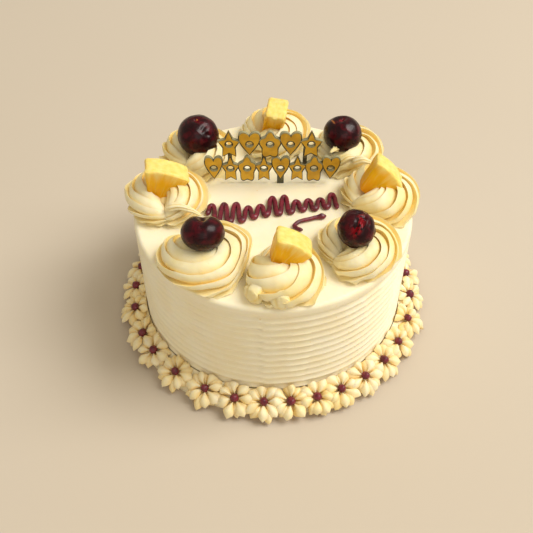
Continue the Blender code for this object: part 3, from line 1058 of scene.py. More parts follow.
@dataclass
class Dab:
    """A small ribbed dab of cream that trails off to a point. Its ends and its width are in millimetres."""

    name: str
    head: Place
    tail: Place
    width: float
    node: str
    seed: float
    ribs: int = 6
    trail: float = 0.75
    sag: float = 0.12
    rows: int = 40
    rib_columns: int = 10
    rib_depth: float = 0.28
    rib_crest: float = 0.3
    turn: float = 1.2
    flatness: float = 0.8
    # How strong the painted shade in the dab's grooves is.
    groove_shade_share: float = 0.5

    def build(self, finish: bpy.types.Material) -> None:
        """Builds the dab.

        Args:
            finish: The cream's material.
        """
        shape = bmesh.new()
        groove_shade = shape.verts.layers.float.new("groove_shade")
        head, tail = Vector(self.head) * MM, Vector(self.tail) * MM
        forward = (tail - head).normalized()
        side = forward.cross(Vector((0, 0, 1))).normalized()
        rise = side.cross(forward)
        columns = self.ribs * self.rib_columns

        def on_dab(vert: bmesh.types.BMVert, row: int, column: int) -> None:
            """Puts a point of the dab in its place.

            Args:
                vert: The point.
                row: Its row, from 0 to the last, at its tail.
                column: Its column round the dab.
            """
            share = row / self.rows
            around = math.tau * column / columns + self.turn * share
            rib = (column % self.rib_columns) / self.rib_columns
            fall = (rib - self.rib_crest) / (1 - self.rib_crest)
            high = rib / self.rib_crest if rib < self.rib_crest else 1 - fall**2
            ends = math.sqrt(clamp(share / 0.18)) * math.sqrt(clamp((1 - share) / 0.08))
            full = ends * (1 - self.trail * share)
            reach = self.width * MM / 2 * full * (1 - self.rib_depth + self.rib_depth * high)
            sag = self.sag * (tail - head).length * math.sin(math.pi * share)
            spot = head.lerp(tail, share) + Vector((0.0, 0.0, sag))
            spot += side * reach * math.cos(around) + rise * reach * self.flatness * math.sin(around)
            spot += 0.5 * MM * shove(spot, 6 * MM, self.seed)
            vert.co = spot
            # Painted shade, deepest between the ribs.
            vert[groove_shade] = (1 - high) ** 2 * self.groove_shade_share

        lay_out(shape, columns, self.rows, on_dab)
        hand_over(shape, f"cream_dab_{self.name}", finish, [self.node])


DABS = (
    Dab("end", (38.0, 28.0, 89.0), (49.5, 27.0, 93.5), 8.5, "rosette_back_right", 1.1),
    Dab("bridge", (46.5, 26.0, 91.0), (59.0, 21.5, 93.0), 7.5, "rosette_back_right", 5.5),
    Dab("tip", (38.0, 33.0, 94.5), (33.5, 26.0, 97.0), 5.5, "rosette_back_right", 2.2),
    Dab("drop", (38.5, 26.0, 86.5), (35.5, 23.5, 80.5), 6.5, "rosette_back_right", 3.3),
    Dab("left_tail", (-60.0, -13.0, 90.0), (-39.0, -19.5, 89.0), 7.0, "rosette_left", 4.4),
    Dab("front_curl", (-13.4, -75.0, 82.4), (0.0, -64.0, 86.5), 13.4, "rosette_front", 6.1, 3, 0.25, 0.12),
    Dab("front_lobe", (2.6, -80.6, 82.0), (7.0, -64.0, 86.5), 13.0, "rosette_front", 7.3, 3, 0.25, 0.12),
)


# ---------------------------------------------------------------- fruit

CAMERA_DOWN = math.radians(46.53)  # how far the photograph looks down
PHOTO_RIGHT = Vector((1.0, 0.0, 0.0))
PHOTO_UP = Vector((0.0, math.sin(CAMERA_DOWN), math.cos(CAMERA_DOWN)))
PHOTO_NEAR = Vector((0.0, -math.cos(CAMERA_DOWN), math.sin(CAMERA_DOWN)))


def facing(right: float, up: float) -> Vector:
    """A direction on a ball that the photograph sees at this share of its radius from its middle.

    Args:
        right: To the right, from -1 to 1.
        up: Up, from -1 to 1.

    Returns:
        The unit direction.
    """
    near = math.sqrt(max(0.0, 1 - right * right - up * up))
    return (PHOTO_RIGHT * right + PHOTO_UP * up + PHOTO_NEAR * near).normalized()


@dataclass(frozen=True)
class Dent:
    """A hollow in a cherry, or a bump where its depth is below 0."""

    right: float
    up: float
    wide: float
    long: float
    slant: float
    depth: float
    flesh: float = 0.0
    scar: float = 0.0

    def weight(self, way: Vector) -> float:
        """How strongly the dent is felt in a direction from the cherry's middle.

        Args:
            way: The unit direction.

        Returns:
            1 in the dent's middle, falling to 0.
        """
        middle = facing(self.right, self.up)
        if way.dot(middle) < 0:
            return 0.0
        side = PHOTO_UP.cross(middle).normalized()
        rise = middle.cross(side)
        angle = math.radians(self.slant)
        u, v = way.dot(side), way.dot(rise)
        along = u * math.sin(angle) + v * math.cos(angle)
        across = u * math.cos(angle) - v * math.sin(angle)
        return math.exp(-((across / self.wide) ** 2) - (along / self.long) ** 2)


@dataclass
class Cherry:
    """A pitted cherry, dented and torn as the real ones are.

    Its place, width and height are in millimetres.
    """

    seat: str
    x: float
    y: float
    z: float
    width: float
    height: float
    tilt: Point
    wrinkle: float
    seed: float
    dents: tuple[Dent, ...]
    tear_edge: Point = (0.35, 0.75)
    scar_edge: Point = (0.55, 0.8)
    torn_folds: float = 1.9
    skin_folds: float = 0.35
    columns: int = 120
    rows: int = 80

    def build(self, finish: bpy.types.Material) -> None:
        """Builds the cherry.

        Args:
            finish: The cherry's material.
        """
        shape = bmesh.new()
        flesh = shape.verts.layers.float.new("flesh")
        scar = shape.verts.layers.float.new("scar")
        middle = Vector((self.x, self.y, self.z)) * MM
        size = Vector((self.width, self.width, self.height)) * MM / 2
        lean = Euler((math.radians(self.tilt[0]), math.radians(self.tilt[1]), 0.0)).to_matrix()

        def on_skin(vert: bmesh.types.BMVert, row: int, column: int) -> None:
            """Puts a point of the skin in its place and marks torn flesh.

            Args:
                vert: The point.
                row: Its row, from 0 to the last, which the point's own place already tells.
                column: Its column, likewise.
            """
            local = vert.co.normalized()
            way = lean @ local
            hollow = torn = tan = 0.0
            for dent in self.dents:
                weight = dent.weight(way)
                hollow += dent.depth * weight
                torn += dent.flesh * ease(*self.tear_edge, weight)
                tan += dent.scar * ease(*self.scar_edge, weight)
            creases = 1 - 2 * abs(ripple(way, 0.5, self.seed)) ** 0.7
            creased = self.torn_folds * torn * creases + self.skin_folds * creases
            folds = self.wrinkle * (ripple(way, 0.55, self.seed) + creased)
            reach = 1 - hollow + folds
            vert.co = middle + lean @ Vector((local.x * size.x, local.y * size.y, local.z * size.z)) * reach
            vert[flesh] = clamp(torn)
            vert[scar] = clamp(tan)

        lay_out(shape, self.columns, self.rows, on_skin)
        hand_over(shape, f"fruit_{self.seat}", finish, [f"cherry_{self.seat}"])


CHERRIES = (
    Cherry(
        "back_right", 41.4, 41.5, 99.2, 22.9, 21.6, (-20, 10), 0.03, 1.7,
        (
            Dent(-0.08, 0.72, 0.3, 0.17, -60, 0.16, 0.6),
            Dent(-0.55, 0.6, 0.07, 0.42, -48, 0.03, 0.0, 0.7),
            Dent(0.45, 0.25, 0.25, 0.4, -20, 0.03),
        ),
    ),
    Cherry(
        "front_right", 42.7, -42.6, 101.6, 19.6, 20.2, (-25, -15), 0.06, 2.9,
        (
            Dent(-0.02, 0.12, 0.4, 0.85, 24, 0.2, 1.0),
            Dent(0.1, 0.1, 0.07, 0.5, 20, -0.1),
            Dent(0.45, 0.25, 0.1, 0.45, 28, -0.07),
            Dent(-0.55, -0.1, 0.25, 0.5, -10, 0.08, 0.2),
            Dent(0.05, 0.85, 0.3, 0.12, 0, 0.08),
        ),
    ),
    Cherry(
        "front_left", -36.5, -46.5, 102.4, 22.8, 19.0, (-35, 0), 0.01, 3.3,
        (
            Dent(0.02, 0.96, 0.26, 0.5, 0, 0.42),
            Dent(0.02, 0.5, 0.12, 0.35, 0, 0.06),
            Dent(0.02, 0.74, 0.06, 0.08, 0, -0.03, 0.0, 1.0),
        ),
    ),
    Cherry(
        "back_left", -44.5, 41.0, 98.6, 24.5, 23.6, (18, 8), 0.025, 4.8,
        (
            Dent(0.0, 0.64, 0.2, 0.16, 0, 0.16, 0.3),
            Dent(0.0, 0.7, 0.06, 0.06, 0, -0.03, 0.0, 0.9),
            Dent(0.35, 0.2, 0.12, 0.3, 40, 0.06, 0.35),
            Dent(0.55, -0.1, 0.14, 0.1, 0, 0.05),
        ),
    ),
)


@dataclass
class Chunk:
    """A chunk of pineapple: a thick sector of a ring, with rounded edges and fibres from the core."""

    seat: str
    foot: Place
    lean: float
    turn: float
    size: float
    seed: float
    inner: float = 13 * MM
    outer: float = 36 * MM
    half_angle: float = math.radians(21)
    thick: float = 12.5 * MM
    rounding: float = 1.6 * MM
    fibre_depth: float = 0.35 * MM
    bundle_depth: float = 0.5 * MM
    rind: float = 0.97
    cuts: int = 38

    def rounded(self, corner: Vector, half: Vector) -> Vector:
        """Turns a point of a cube's skin into one of a box with rounded edges.

        Args:
            corner: The point, from -1 to 1 on each axis.
            half: The box's half sizes.

        Returns:
            The point on the box.
        """
        full = Vector([c * h for c, h in zip(corner, half)])
        core = Vector([clamp(f, self.rounding - h, h - self.rounding) for f, h in zip(full, half)])
        out = full - core
        return core + out.normalized() * self.rounding if out.length > WELD else full

    def build(self, finish: bpy.types.Material) -> None:
        """Builds the chunk.

        Args:
            finish: The pineapple's material.
        """
        shape = bmesh.new()
        bmesh.ops.create_cube(shape, size=2.0)
        bmesh.ops.subdivide_edges(shape, edges=shape.edges, cuts=self.cuts, use_grid_fill=True)
        reach = shape.verts.layers.float.new("reach")
        way = shape.verts.layers.float_vector.new("slice")
        inner, outer = self.inner * self.size, self.outer * self.size
        middle = (inner + outer) / 2
        half = Vector((middle * self.half_angle, self.thick / 2, (outer - inner) / 2))
        lean = Matrix.Rotation(math.radians(self.lean), 4, "Y")
        turn = Matrix.Rotation(math.radians(self.turn), 4, "Z")
        place = Matrix.Translation(Vector(self.foot) * MM) @ (lean @ turn)
        for vert in shape.verts:
            block = self.rounded(vert.co, half)
            share = (block.z / half.z + 1) / 2
            cut = Vector((block.x, 0.12 * block.z, block.y))
            fibre = self.fibre_depth * ripple(cut, 1.5 * MM, self.seed)
            fibre += self.bundle_depth * ripple(cut, 4 * MM, self.seed)
            fibre += self.bundle_depth * ripple(block, 6 * MM, self.seed + 5)
            if share > self.rind:
                fibre = 0.1 * MM * ripple(block, 3 * MM, self.seed)
                fibre += self.fibre_depth * ripple(block, 7 * MM, self.seed)
            block += block.normalized() * fibre
            angle = block.x / half.x * self.half_angle
            radius = inner + (outer - inner) * (block.z / half.z + 1) / 2
            # The share from core to rind, which carries the painted light and shade.
            vert[reach] = share
            vert[way] = Vector((block.x, radius, block.y))
            local = Vector((radius * math.sin(angle), block.y, radius * math.cos(angle) - inner))
            vert.co = place @ local
        hand_over(shape, f"chunk_{self.seat}", finish, [f"pineapple_{self.seat}"])


CHUNKS = (
    Chunk("back", (-0.2, 59.0, 87.7), 9, 83, 0.87, 1.1),
    Chunk("right", (52.5, 4.0, 88.9), 46, -11, 0.89, 2.2),
    Chunk("front", (1.4, -55.0, 90.0), 32, 0, 0.85, 3.3),
    Chunk("left", (-67.0, 2.0, 84.8), 23, 9, 1.02, 4.4),
)


# ---------------------------------------------------------------- border of piped flowers


@dataclass
class FlowerBorder:
    """The piped flowers round the foot of the cake, their dots of icing, and the cream under them."""

    ring: float = 86.5 * MM
    height: float = 6.8 * MM
    tilt: float = math.radians(24)
    first: float = 179.5
    front_steps: tuple[int, ...] = (12, 14, 10, 14, 14, 12, 11, 10, 10, 10, 11, 11, 11, 13, 13, 12)
    back_steps: tuple[int, ...] = (11, 12) * 7 + (11,)
    petal_length: float = 11.6 * MM
    petal_width: float = 2.95 * MM
    petal_thick: float = 2.5 * MM
    petal_rows: int = 10
    petal_heights: tuple[float, ...] = (0.0, 0.66, 1.0, 0.66, 0.0, -0.25, -0.3, -0.25)
    petal_start: float = 1.0 * MM
    petal_lift: float = 2.0 * MM
    petal_arch: float = 1.7 * MM
    petal_droop: float = 1.8 * MM
    # How strong the painted shade at the petals' sides and roots is.
    petal_shade: float = 0.9
    lump: Point = (0.45 * MM, 4.5 * MM)  # height and width
    dimple: Point = (0.2 * MM, 2 * MM)
    under_drop: float = 1.6 * MM
    draw_seed: int = 7
    dot_height: float = 3.4 * MM
    dot_flatness: float = 0.86
    dot_peak: float = 0.45 * MM
    dot_lump: Point = (0.35 * MM, 2.6 * MM)
    dot_radius: float = 2.5 * MM
    stop: float = CAKE_RADIUS + 2 * GAP
    foot_width: float = 10.6 * MM
    foot_height: float = 9 * MM

    def petal(self, shape: bmesh.types.BMesh, place: Matrix, draw: random.Random, low: bool) -> None:
        """Adds one petal: narrow at the dot, widest two thirds out, creased along its middle.

        Args:
            shape: The shape that it is added to.
            place: Takes the petal, which lies along +X, to its place.
            draw: The source of its unevenness.
            low: True for a petal under the others.
        """
        length = self.petal_length * draw.uniform(0.9, 1.1)
        width = self.petal_width * draw.uniform(0.85, 1.15)
        thick = self.petal_thick * draw.uniform(0.85, 1.15)
        curl = draw.uniform(-0.2, 1.2) * MM
        skew = draw.uniform(-0.12, 0.12)
        tip = draw.uniform(1.3, 1.8)
        crest = draw.uniform(-0.35, 0.35)
        sides = (1.0, 0.5 + 0.5 * crest, crest, 0.5 * crest - 0.5, -1.0, -0.6, 0.0, 0.6)

        def on_petal(vert: bmesh.types.BMVert, row: int, column: int) -> None:
            """Puts a point of the petal in its place.

            Args:
                vert: The point.
                row: Its row, from 0 to the last, at its tip.
                column: Its column round the petal.
            """
            share = row / self.petal_rows
            broad = math.sin(math.pi * share**tip) if 0 < row < self.petal_rows else 0.0
            height = thick * self.petal_heights[column] * (broad**0.7) * (1.25 - 0.5 * share)
            arch = self.petal_arch * math.sin(math.pi * clamp(share * 0.8))
            arch += curl * share**3 - self.petal_droop * share**2
            along = self.petal_start + (length - self.petal_start) * share
            side = width * broad * sides[column] + skew * length * share**2
            spot = place @ Vector((along, side, self.petal_lift + arch + height))
            lumps = self.lump[0] * shove(spot, self.lump[1], 3.0)
            spot += lumps + self.dimple[0] * shove(spot, self.dimple[1], 5.0)
            reach = spot.xy.length
            if reach < self.stop:
                spot.xy *= self.stop / reach
                spot.z += 0.35 * (self.stop - reach)
            spot.z = max(spot.z, 0.2 * MM if low else 0.6 * MM)
            vert.co = spot
            # Painted shade: deeper yellow at the petal's sides and root, and more on the petals underneath.
            edge = clamp(1 - self.petal_heights[column]) * clamp(1.15 - share)
            vert[groove_shade] = self.petal_shade * edge + (0.3 if low else 0.0)

        petal = bmesh.new()
        groove_shade = petal.verts.layers.float.new("groove_shade")
        lay_out(petal, len(self.petal_heights), self.petal_rows, on_petal)
        join(shape, petal)

    def build(self, cream: bpy.types.Material, icing: bpy.types.Material) -> None:
        """Builds the petals, the dots and the cream under them.

        Args:
            cream: The cream's material.
            icing: The icing's material.
        """
        draw = random.Random(self.draw_seed)
        petals, dots = bmesh.new(), bmesh.new()
        petals.verts.layers.float.new("groove_shade")
        bearing = self.first
        for step in self.front_steps + self.back_steps:
            flower = (
                Matrix.Rotation(math.radians(bearing - 90), 4, "Z")
                @ Matrix.Translation((0.0, self.ring, self.height))
                @ Matrix.Rotation(-self.tilt, 4, "X")
            )
            count = draw.choice((6, 7, 7))
            start = draw.uniform(0, math.tau)
            for i in range(count):
                angle = start + math.tau * i / count + draw.uniform(-0.13, 0.13)
                self.petal(petals, flower @ Matrix.Rotation(angle, 4, "Z"), draw, False)
            under = flower @ Matrix.Translation((0.0, 0.4 * MM, -self.under_drop))
            for i in range(count):
                angle = start + math.tau * (i + 0.5) / count + draw.uniform(-0.25, 0.25)
                self.petal(petals, under @ Matrix.Rotation(angle, 4, "Z"), draw, True)
            self.dot(dots, flower, draw)
            bearing += step
        hand_over(petals, "flower_petals", cream, ["flower_border"])
        hand_over(dots, "flower_dots", icing, ["flower_border"])
        self.build_foot(cream)

    def dot(self, shape: bmesh.types.BMesh, flower: Matrix, draw: random.Random) -> None:
        """Adds the dot of icing in a flower's middle.

        Args:
            shape: The shape that it is added to.
            flower: The flower's place.
            draw: The source of its unevenness.
        """
        size = self.dot_radius * draw.uniform(0.92, 1.1)
        lean = Vector((draw.uniform(-0.5, 0.5), draw.uniform(-0.5, 0.5), 0.0)) * MM

        def on_dot(vert: bmesh.types.BMVert, row: int, column: int) -> None:
            """Puts a point of the dot in its place.

            Args:
                vert: The point.
                row: Its row, from 0 to the last, from the top down.
                column: Its column, which isn't needed.
            """
            peak = self.dot_peak * (1 - row / 3) if row < 3 else 0.0
            local = Vector((vert.co.x * size, vert.co.y * size, vert.co.z * size * self.dot_flatness + peak))
            local += self.dot_lump[0] * shove(flower @ local, self.dot_lump[1], 4.0)
            vert.co = flower @ (local + lean * clamp(vert.co.z) + Vector((0.0, 0.0, self.dot_height)))

        dot = bmesh.new()
        lay_out(dot, 14, 9, on_dot)
        join(shape, dot)

    def build_foot(self, cream: bpy.types.Material) -> None:
        """Builds the ring of cream under the flowers.

        Args:
            cream: The cream's material.
        """
        shape = bmesh.new()
        inner, outer = CAKE_RADIUS + GAP, CAKE_RADIUS + self.foot_width
        outline = [(inner, 1.2 * self.foot_height), (inner + 2.2 * MM, self.foot_height)]
        outline += [(outer - 2.0 * MM, 0.55 * self.foot_height), (outer, 1.6 * MM)]
        outline += [(outer, 0.0), (inner, 0.0)]
        verts = [shape.verts.new((across, 0.0, height)) for across, height in outline]
        edges = [shape.edges.new(pair) for pair in zip(verts, verts[1:] + verts[:1])]
        bmesh.ops.subdivide_edges(shape, edges=edges[:3], cuts=3)
        bmesh.ops.spin(
            shape,
            geom=list(shape.verts) + list(shape.edges),
            cent=(0, 0, 0),
            axis=(0, 0, 1),
            angle=math.tau,
            steps=240,
            use_merge=True,
        )
        bmesh.ops.remove_doubles(shape, verts=shape.verts, dist=WELD)
        for vert in shape.verts:
            if vert.co.z > WELD and vert.co.xy.length > inner + WELD:
                vert.co.z = max(0.3 * MM, vert.co.z + 1.1 * MM * ripple(vert.co, 4 * MM, 1.0))
                vert.co.xy *= 1 + 0.9 * MM * ripple(vert.co, 4 * MM, 2.0) / vert.co.xy.length
        hand_over(shape, "flower_foot", cream, ["flower_border"])


# ---------------------------------------------------------------- topper


class Motif(Enum):
    """The cut-out shapes of the topper, each in a box 2 wide and 2 high."""

    STAR = "star"
    HEART = "heart"
    BLOSSOM = "blossom"

    def edge(self, share: float) -> Point:
        """A point on the motif's outline.

        Args:
            share: How far round, from 0 at the top to 1.

        Returns:
            The point across and up.
        """
        angle = math.tau * share
        if self is Motif.HEART:
            height = 13 * math.cos(angle) - 5 * math.cos(2 * angle) - 2 * math.cos(3 * angle)
            return math.sin(angle) ** 3, (height + 2.5) / 14.5
        if self is Motif.BLOSSOM:
            reach = 0.88 + 0.12 * math.cos(5 * angle)
        else:
            reach = self.star_reach(share)
        return reach * math.sin(angle) / 0.95, (reach * math.cos(angle) - 0.1) / 0.9

    @staticmethod
    def star_reach(share: float) -> float:
        """How far the star's straight edge is from its middle.

        Args:
            share: How far round, from 0 at a tip to 1.

        Returns:
            The distance, where a tip is at 1.
        """
        tenth = math.tau / 10
        angle = (math.tau * share) % (2 * tenth)
        if angle > tenth:
            angle = 2 * tenth - angle
        tip, notch = 1.0, 0.58
        return tip * notch * math.sin(tenth) / (tip * math.sin(angle) + notch * math.sin(tenth - angle))


@dataclass(frozen=True)
class Tier:
    """One row of motifs: its middle height, first motif, step, motif height, and motifs."""

    middle: float
    first: float
    step: float
    height: float
    motifs: tuple[Motif, ...]


@dataclass
class Topper:
    """Two tiers of cut-out motifs in gold foil on a dark board, on posts and a peg."""

    y: float = 20 * MM
    thick: float = 1.8 * MM
    overlap: float = 1.2 * MM
    hole: float = 1.7 * MM
    rim: float = 0.8 * MM
    foil_step: float = 0.14 * MM
    foil_thick: float = 0.5 * MM
    stagger: float = 0.04 * MM
    bar_bevel: float = 0.3 * MM
    points: int = 60
    post_places: tuple[float, ...] = (-24.9 * MM, -5.4 * MM, 18.3 * MM)
    post_size: Point = (2.4 * MM, 11 * MM)
    post_middle: float = 100 * MM
    peg_place: float = 4.4 * MM
    peg_width: float = 4 * MM
    peg_top: float = 87 * MM
    peg_low: float = 68 * MM
    tiers: tuple[Tier, ...] = (
        Tier(
            108.6 * MM, -25.2 * MM, 11.7 * MM, 17.5 * MM,
            (Motif.STAR, Motif.HEART, Motif.BLOSSOM, Motif.HEART, Motif.STAR),
        ),
        Tier(
            91.2 * MM, -34.6 * MM, 9.75 * MM, 17.8 * MM,
            (
                Motif.HEART, Motif.STAR, Motif.BLOSSOM, Motif.STAR, Motif.HEART, Motif.STAR, Motif.BLOSSOM,
                Motif.HEART,
            ),
        ),
    )

    def plate(
        self, shape: bmesh.types.BMesh, tier: Tier, index: int, inset: float, front: float, thick: float
    ) -> None:
        """Adds one motif as a pierced plate.

        Args:
            shape: The shape that it is added to.
            tier: The motif's tier.
            index: Which motif of the tier it is.
            inset: How far its edges lie inside the motif's.
            front: How far its face stands in front of the topper's middle.
            thick: Its thickness.
        """
        motif = tier.motifs[index]
        middle = Vector((tier.first + tier.step * index, self.y - front, tier.middle))
        wide = (tier.step + self.overlap) / 2
        rings = []
        for reach, grow in ((None, -inset), (self.hole, inset)):
            verts = bmesh.ops.create_circle(shape, segments=self.points, radius=1.0)["verts"]
            for i, vert in enumerate(verts):
                share = i / self.points
                if reach is None:
                    across, up = motif.edge(share)
                    out = Vector((across * wide, 0.0, up * tier.height / 2))
                    vert.co = middle + out * max(0.2, 1 + grow / max(out.length, WELD))
                else:
                    round_hole = Vector((math.sin(math.tau * share), 0.0, math.cos(math.tau * share)))
                    vert.co = middle + round_hole * (reach + grow)
            rings.append([e for e in shape.edges if e.verts[0] in verts and e.verts[1] in verts])
        strip = bmesh.ops.bridge_loops(shape, edges=rings[0] + rings[1])["faces"]
        back = bmesh.ops.extrude_face_region(shape, geom=strip, use_keep_orig=True)["geom"]
        moved = [item for item in back if isinstance(item, bmesh.types.BMVert)]
        bmesh.ops.translate(shape, verts=moved, vec=(0.0, thick, 0.0))

    def bar(self, shape: bmesh.types.BMesh, x: float, low: float, high: float, wide: float) -> None:
        """Adds an upright bar of the board.

        Args:
            shape: The shape that it is added to.
            x: Its middle.
            low: Its lower end.
            high: Its upper end.
            wide: Its width.
        """
        verts = bmesh.ops.create_cube(shape, size=1.0)["verts"]
        bmesh.ops.scale(shape, verts=verts, vec=(wide, self.thick * 0.98, high - low))
        bmesh.ops.translate(shape, verts=verts, vec=(x, self.y, (low + high) / 2))
        edges = [e for e in shape.edges if e.verts[0] in verts and e.verts[1] in verts]
        bmesh.ops.bevel(
            shape, geom=edges, offset=self.bar_bevel, segments=2, profile=0.5, affect="EDGES", material=-1
        )

    def build(self, board: bpy.types.Material, foil: bpy.types.Material) -> None:
        """Builds the board and the foil on it.

        Args:
            board: The board's material.
            foil: The foil's material.
        """
        plates, faces = bmesh.new(), bmesh.new()
        half = self.thick / 2
        for tier in self.tiers:
            for index in range(len(tier.motifs)):
                thinner = self.stagger * (index % 2)
                self.plate(plates, tier, index, 0.0, half - thinner, self.thick - 2 * thinner)
                self.plate(faces, tier, index, self.rim, half + self.foil_step, self.foil_thick)
        half_post = self.post_size[1] / 2
        for x in self.post_places:
            self.bar(plates, x, self.post_middle - half_post, self.post_middle + half_post, self.post_size[0])
        self.bar(plates, self.peg_place, self.peg_low, self.peg_top, self.peg_width)
        # Painted light: the faces that look up are marked for a pale tint.
        painted_top_light = plates.verts.layers.float.new("painted_top_light")
        plates.normal_update()
        bmesh.ops.recalc_face_normals(plates, faces=plates.faces)
        for vert in plates.verts:
            vert[painted_top_light] = ease(0.3, 0.6, max(face.normal.z for face in vert.link_faces))
        board_piece = hand_over(plates, "topper_board", board, ["topper"])
        board_piece.data.shade_flat()
        hand_over(faces, "topper_foil", foil, ["topper"]).data.shade_flat()


# ---------------------------------------------------------------- piping


@dataclass
class PipedLine:
    """A round line of icing on the cake's top, which swells where the nozzle has rested."""

    name: str
    points: list[Vector]
    blobs: list[float]
    radius: float = 1.35 * MM
    rest: float = 0.93
    flatness: float = 1.05
    lump: Point = (0.14 * MM, 3 * MM)  # height and width
    columns: int = 14

    def build(self, icing: bpy.types.Material) -> None:
        """Builds the line.

        Args:
            icing: The icing's material.
        """
        shape = bmesh.new()
        last = len(self.points) - 1

        def on_line(vert: bmesh.types.BMVert, row: int, column: int) -> None:
            """Puts a point of the line's skin in its place.

            Args:
                vert: The point.
                row: Its row, from 0 to the last, at its end.
                column: Its column round the line.
            """
            here = self.points[row]
            ahead = self.points[min(row + 1, last)] - self.points[max(row - 1, 0)]
            forward = Vector((ahead.x, ahead.y, 0.0)).normalized()
            side = forward.cross(Vector((0, 0, 1)))
            end = min(row, last - row)
            thick = self.radius * self.blobs[row] * math.sqrt(clamp(end / 4))
            around = math.tau * column / self.columns
            height = self.rest * self.radius + thick * math.sin(around)
            spot = here + side * thick * self.flatness * math.cos(around)
            vert.co = Vector((spot.x, spot.y, CAKE_HEIGHT + max(0.0, height)))
            vert.co += self.lump[0] * shove(vert.co, self.lump[1], 5.0)

        lay_out(shape, self.columns, last, on_line)
        hand_over(shape, f"{self.name}_icing", icing, [self.name])


@dataclass
class Piping:
    """The line of plum icing across the top: a rounded zigzag, and a short stroke in front of it.

    Places are in millimetres on the cake's top, and turns is how far each turn lies off the line.
    """

    start: Point = (-38.5, -9.0)
    end: Point = (37.5, 1.0)
    turns: tuple[float, ...] = (
        -0.5, 6.5, -8.0, 6.5, -8.5, 6.0, -8.5, 2.0, -6.5, 2.5, -5.5, 8.5,
        -5.5, 8.5, -5.0, 3.5, -4.0, 3.5, -4.0, 3.5, -3.5, 7.0, -5.0,
    )
    lean: float = 0.12
    steps: int = 16
    slim: float = 0.97
    swelling: float = 0.36
    swelling_length: float = 0.24
    underline: tuple[Point, ...] = (
        (16.5, -22.5), (13.5, -21.6), (11.3, -19.1), (14.3, -15.4),
        (20.7, -13.3), (24.5, -12), (27.2, -11.3), (30.1, -10.9),
    )
    underline_steps: int = 8
    underline_slim: float = 0.82
    underline_bulb: Place = (0.5, 9, 5)  # how much it swells, and its place and spread in points from the end

    def zigzag(self) -> PipedLine:
        """The zigzag, which swells at its near turns.

        Returns:
            The line.
        """
        points, blobs = [], []
        start, end = Vector((*self.start, 0.0)) * MM, Vector((*self.end, 0.0)) * MM
        stretches = len(self.turns) - 1
        step = (end.x - start.x) / stretches
        for i in range(stretches * self.steps + 1):
            turn, j = divmod(i, self.steps)
            part = j / self.steps
            here = self.turns[turn]
            there = self.turns[min(turn + 1, stretches)]
            rise = (here + (there - here) * (1 - math.cos(math.pi * part)) / 2) * MM
            bow = self.lean * step * math.sin(math.tau * part)
            points.append(start.lerp(end, i / (stretches * self.steps)) + Vector((bow, rise, 0.0)))
            near = part if turn % 2 == 0 else 1 - part
            inside = 0 < i < stretches * self.steps
            blobs.append(self.slim + self.swelling * hill(near, self.swelling_length) * inside)
        return PipedLine("piping", points, blobs)

    def stroke(self) -> PipedLine:
        """The short stroke, which swells near its far end.

        Returns:
            The line.
        """
        corners = [Vector((*corner, 0.0)) * MM for corner in self.underline]
        points = []
        for a, b in zip(corners, corners[1:]):
            points += [a.lerp(b, i / self.underline_steps) for i in range(self.underline_steps)]
        points.append(corners[-1])
        for _ in range(3):
            eased = [(a + 2 * b + c) / 4 for a, b, c in zip(points, points[1:], points[2:])]
            points = [points[0]] + eased + [points[-1]]
        swell, place, spread = self.underline_bulb
        count = len(points)
        blobs = [self.underline_slim + swell * hill(count - place - i, spread) for i in range(count)]
        return PipedLine("piped_underline", points, blobs)

    def build(self, icing: bpy.types.Material) -> None:
        """Builds both lines.

        Args:
            icing: The icing's material.
        """
        self.zigzag().build(icing)
        self.stroke().build(icing)


# ---------------------------------------------------------------- studio


@dataclass(frozen=True)
class SoftLight:
    """A square light that faces the cake: its place in metres, its side, and its power in watts."""

    name: str
    place: Place
    size: float
    power: float
    tone: Colour
    aim: Place = (0, 0, 0.06)

    def build(self) -> None:
        """Adds the light."""
        data = bpy.data.lights.new(self.name, "AREA")
        data.size = self.size
        data.energy = self.power
        data.color = self.tone[:3]
        light = bpy.data.objects.new(self.name, data)
        bpy.context.scene.collection.objects.link(light)
        light.location = self.place
        light.rotation_euler = (Vector(self.aim) - Vector(self.place)).to_track_quat("-Z", "Y").to_euler()


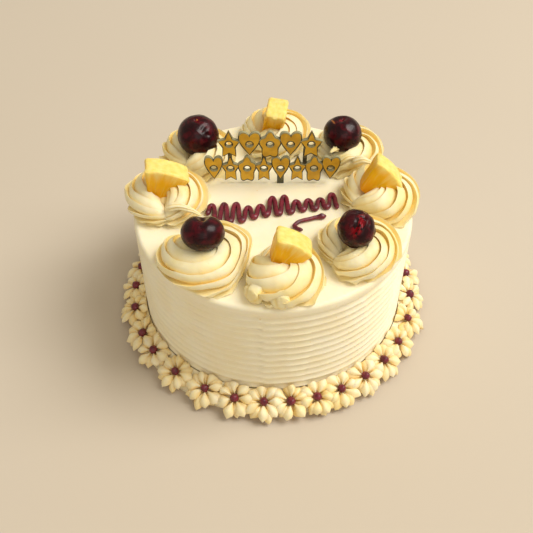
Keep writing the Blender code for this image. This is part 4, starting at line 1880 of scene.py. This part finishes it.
@dataclass
class Studio:
    """The pale floor, the soft lights and the camera of the photograph."""

    floor_size: float = 16.0
    camera_place: Place = (-3.83 * MM, -325.29 * MM, 371.29 * MM)
    camera_lens: float = 50.98
    sensor: float = 36
    near_clip: float = 0.01
    surround: Colour = paint(255, 244, 222)
    surround_strength: float = 0.48
    lights: tuple[SoftLight, ...] = (
        SoftLight("key", (1.95, 0.1, 2.65), 1.9, 96.0, paint(255, 252, 246)),
        SoftLight("front", (0.3, -2.4, 1.9), 1.8, 9.0, paint(255, 252, 246)),
    )

    def build(self) -> None:
        """Builds the floor, the lights and the camera."""
        self.build_floor()
        for light in self.lights:
            light.build()
        self.build_surround()
        self.build_camera()
        bpy.context.scene.view_settings.view_transform = "Standard"

    def build_floor(self) -> None:
        """Builds the floor."""
        shape = bmesh.new()
        bmesh.ops.create_grid(shape, x_segments=1, y_segments=1, size=self.floor_size / 2)
        mesh = bpy.data.meshes.new("floor")
        shape.to_mesh(mesh)
        shape.free()
        mesh.materials.append(FloorFinish("floor").material())
        floor = bpy.data.objects.new("floor", mesh)
        bpy.context.scene.collection.objects.link(floor)

    def build_surround(self) -> None:
        """Builds the even light from all round."""
        world = bpy.data.worlds.new("surround")
        world.use_nodes = True
        background = world.node_tree.nodes["Background"]
        background.inputs["Color"].default_value = self.surround
        background.inputs["Strength"].default_value = self.surround_strength
        bpy.context.scene.world = world

    def build_camera(self) -> None:
        """Builds the camera at the photograph's viewing angle."""
        data = bpy.data.cameras.new("camera")
        data.lens = self.camera_lens
        data.sensor_width = self.sensor
        data.clip_start = self.near_clip
        camera = bpy.data.objects.new("camera", data)
        camera.location = self.camera_place
        camera.rotation_euler = (math.radians(90) - CAMERA_DOWN, 0.0, 0.0)
        bpy.context.scene.collection.objects.link(camera)
        bpy.context.scene.camera = camera


# ---------------------------------------------------------------- the whole


def main() -> None:
    """Builds the cake's pieces in order, then the studio."""
    noise.seed_set(NOISE_SEED)
    logging.basicConfig(level=logging.INFO, format="%(message)s")
    cream = CreamFinish("whipped_cream").material()
    smooth = SMOOTHED.material()
    flowers = PIPED_LOW.material()
    icing = IcingFinish("plum_icing").material()
    CakeCoat().build(smooth)
    for rosette in ROSETTES:
        rosette.build(cream, ROSETTES)
    for dab in DABS:
        dab.build(cream)
    cherry = CherryFinish("cherry").material()
    for fruit in CHERRIES:
        fruit.build(cherry)
    pineapple = PineappleFinish("pineapple").material()
    for chunk in CHUNKS:
        chunk.build(pineapple)
    FlowerBorder().build(flowers, icing)
    Topper().build(BoardFinish("topper_board").material(), FoilFinish("gold_foil").material())
    Piping().build(icing)
    Studio().build()


if __name__ == "__main__":
    main()
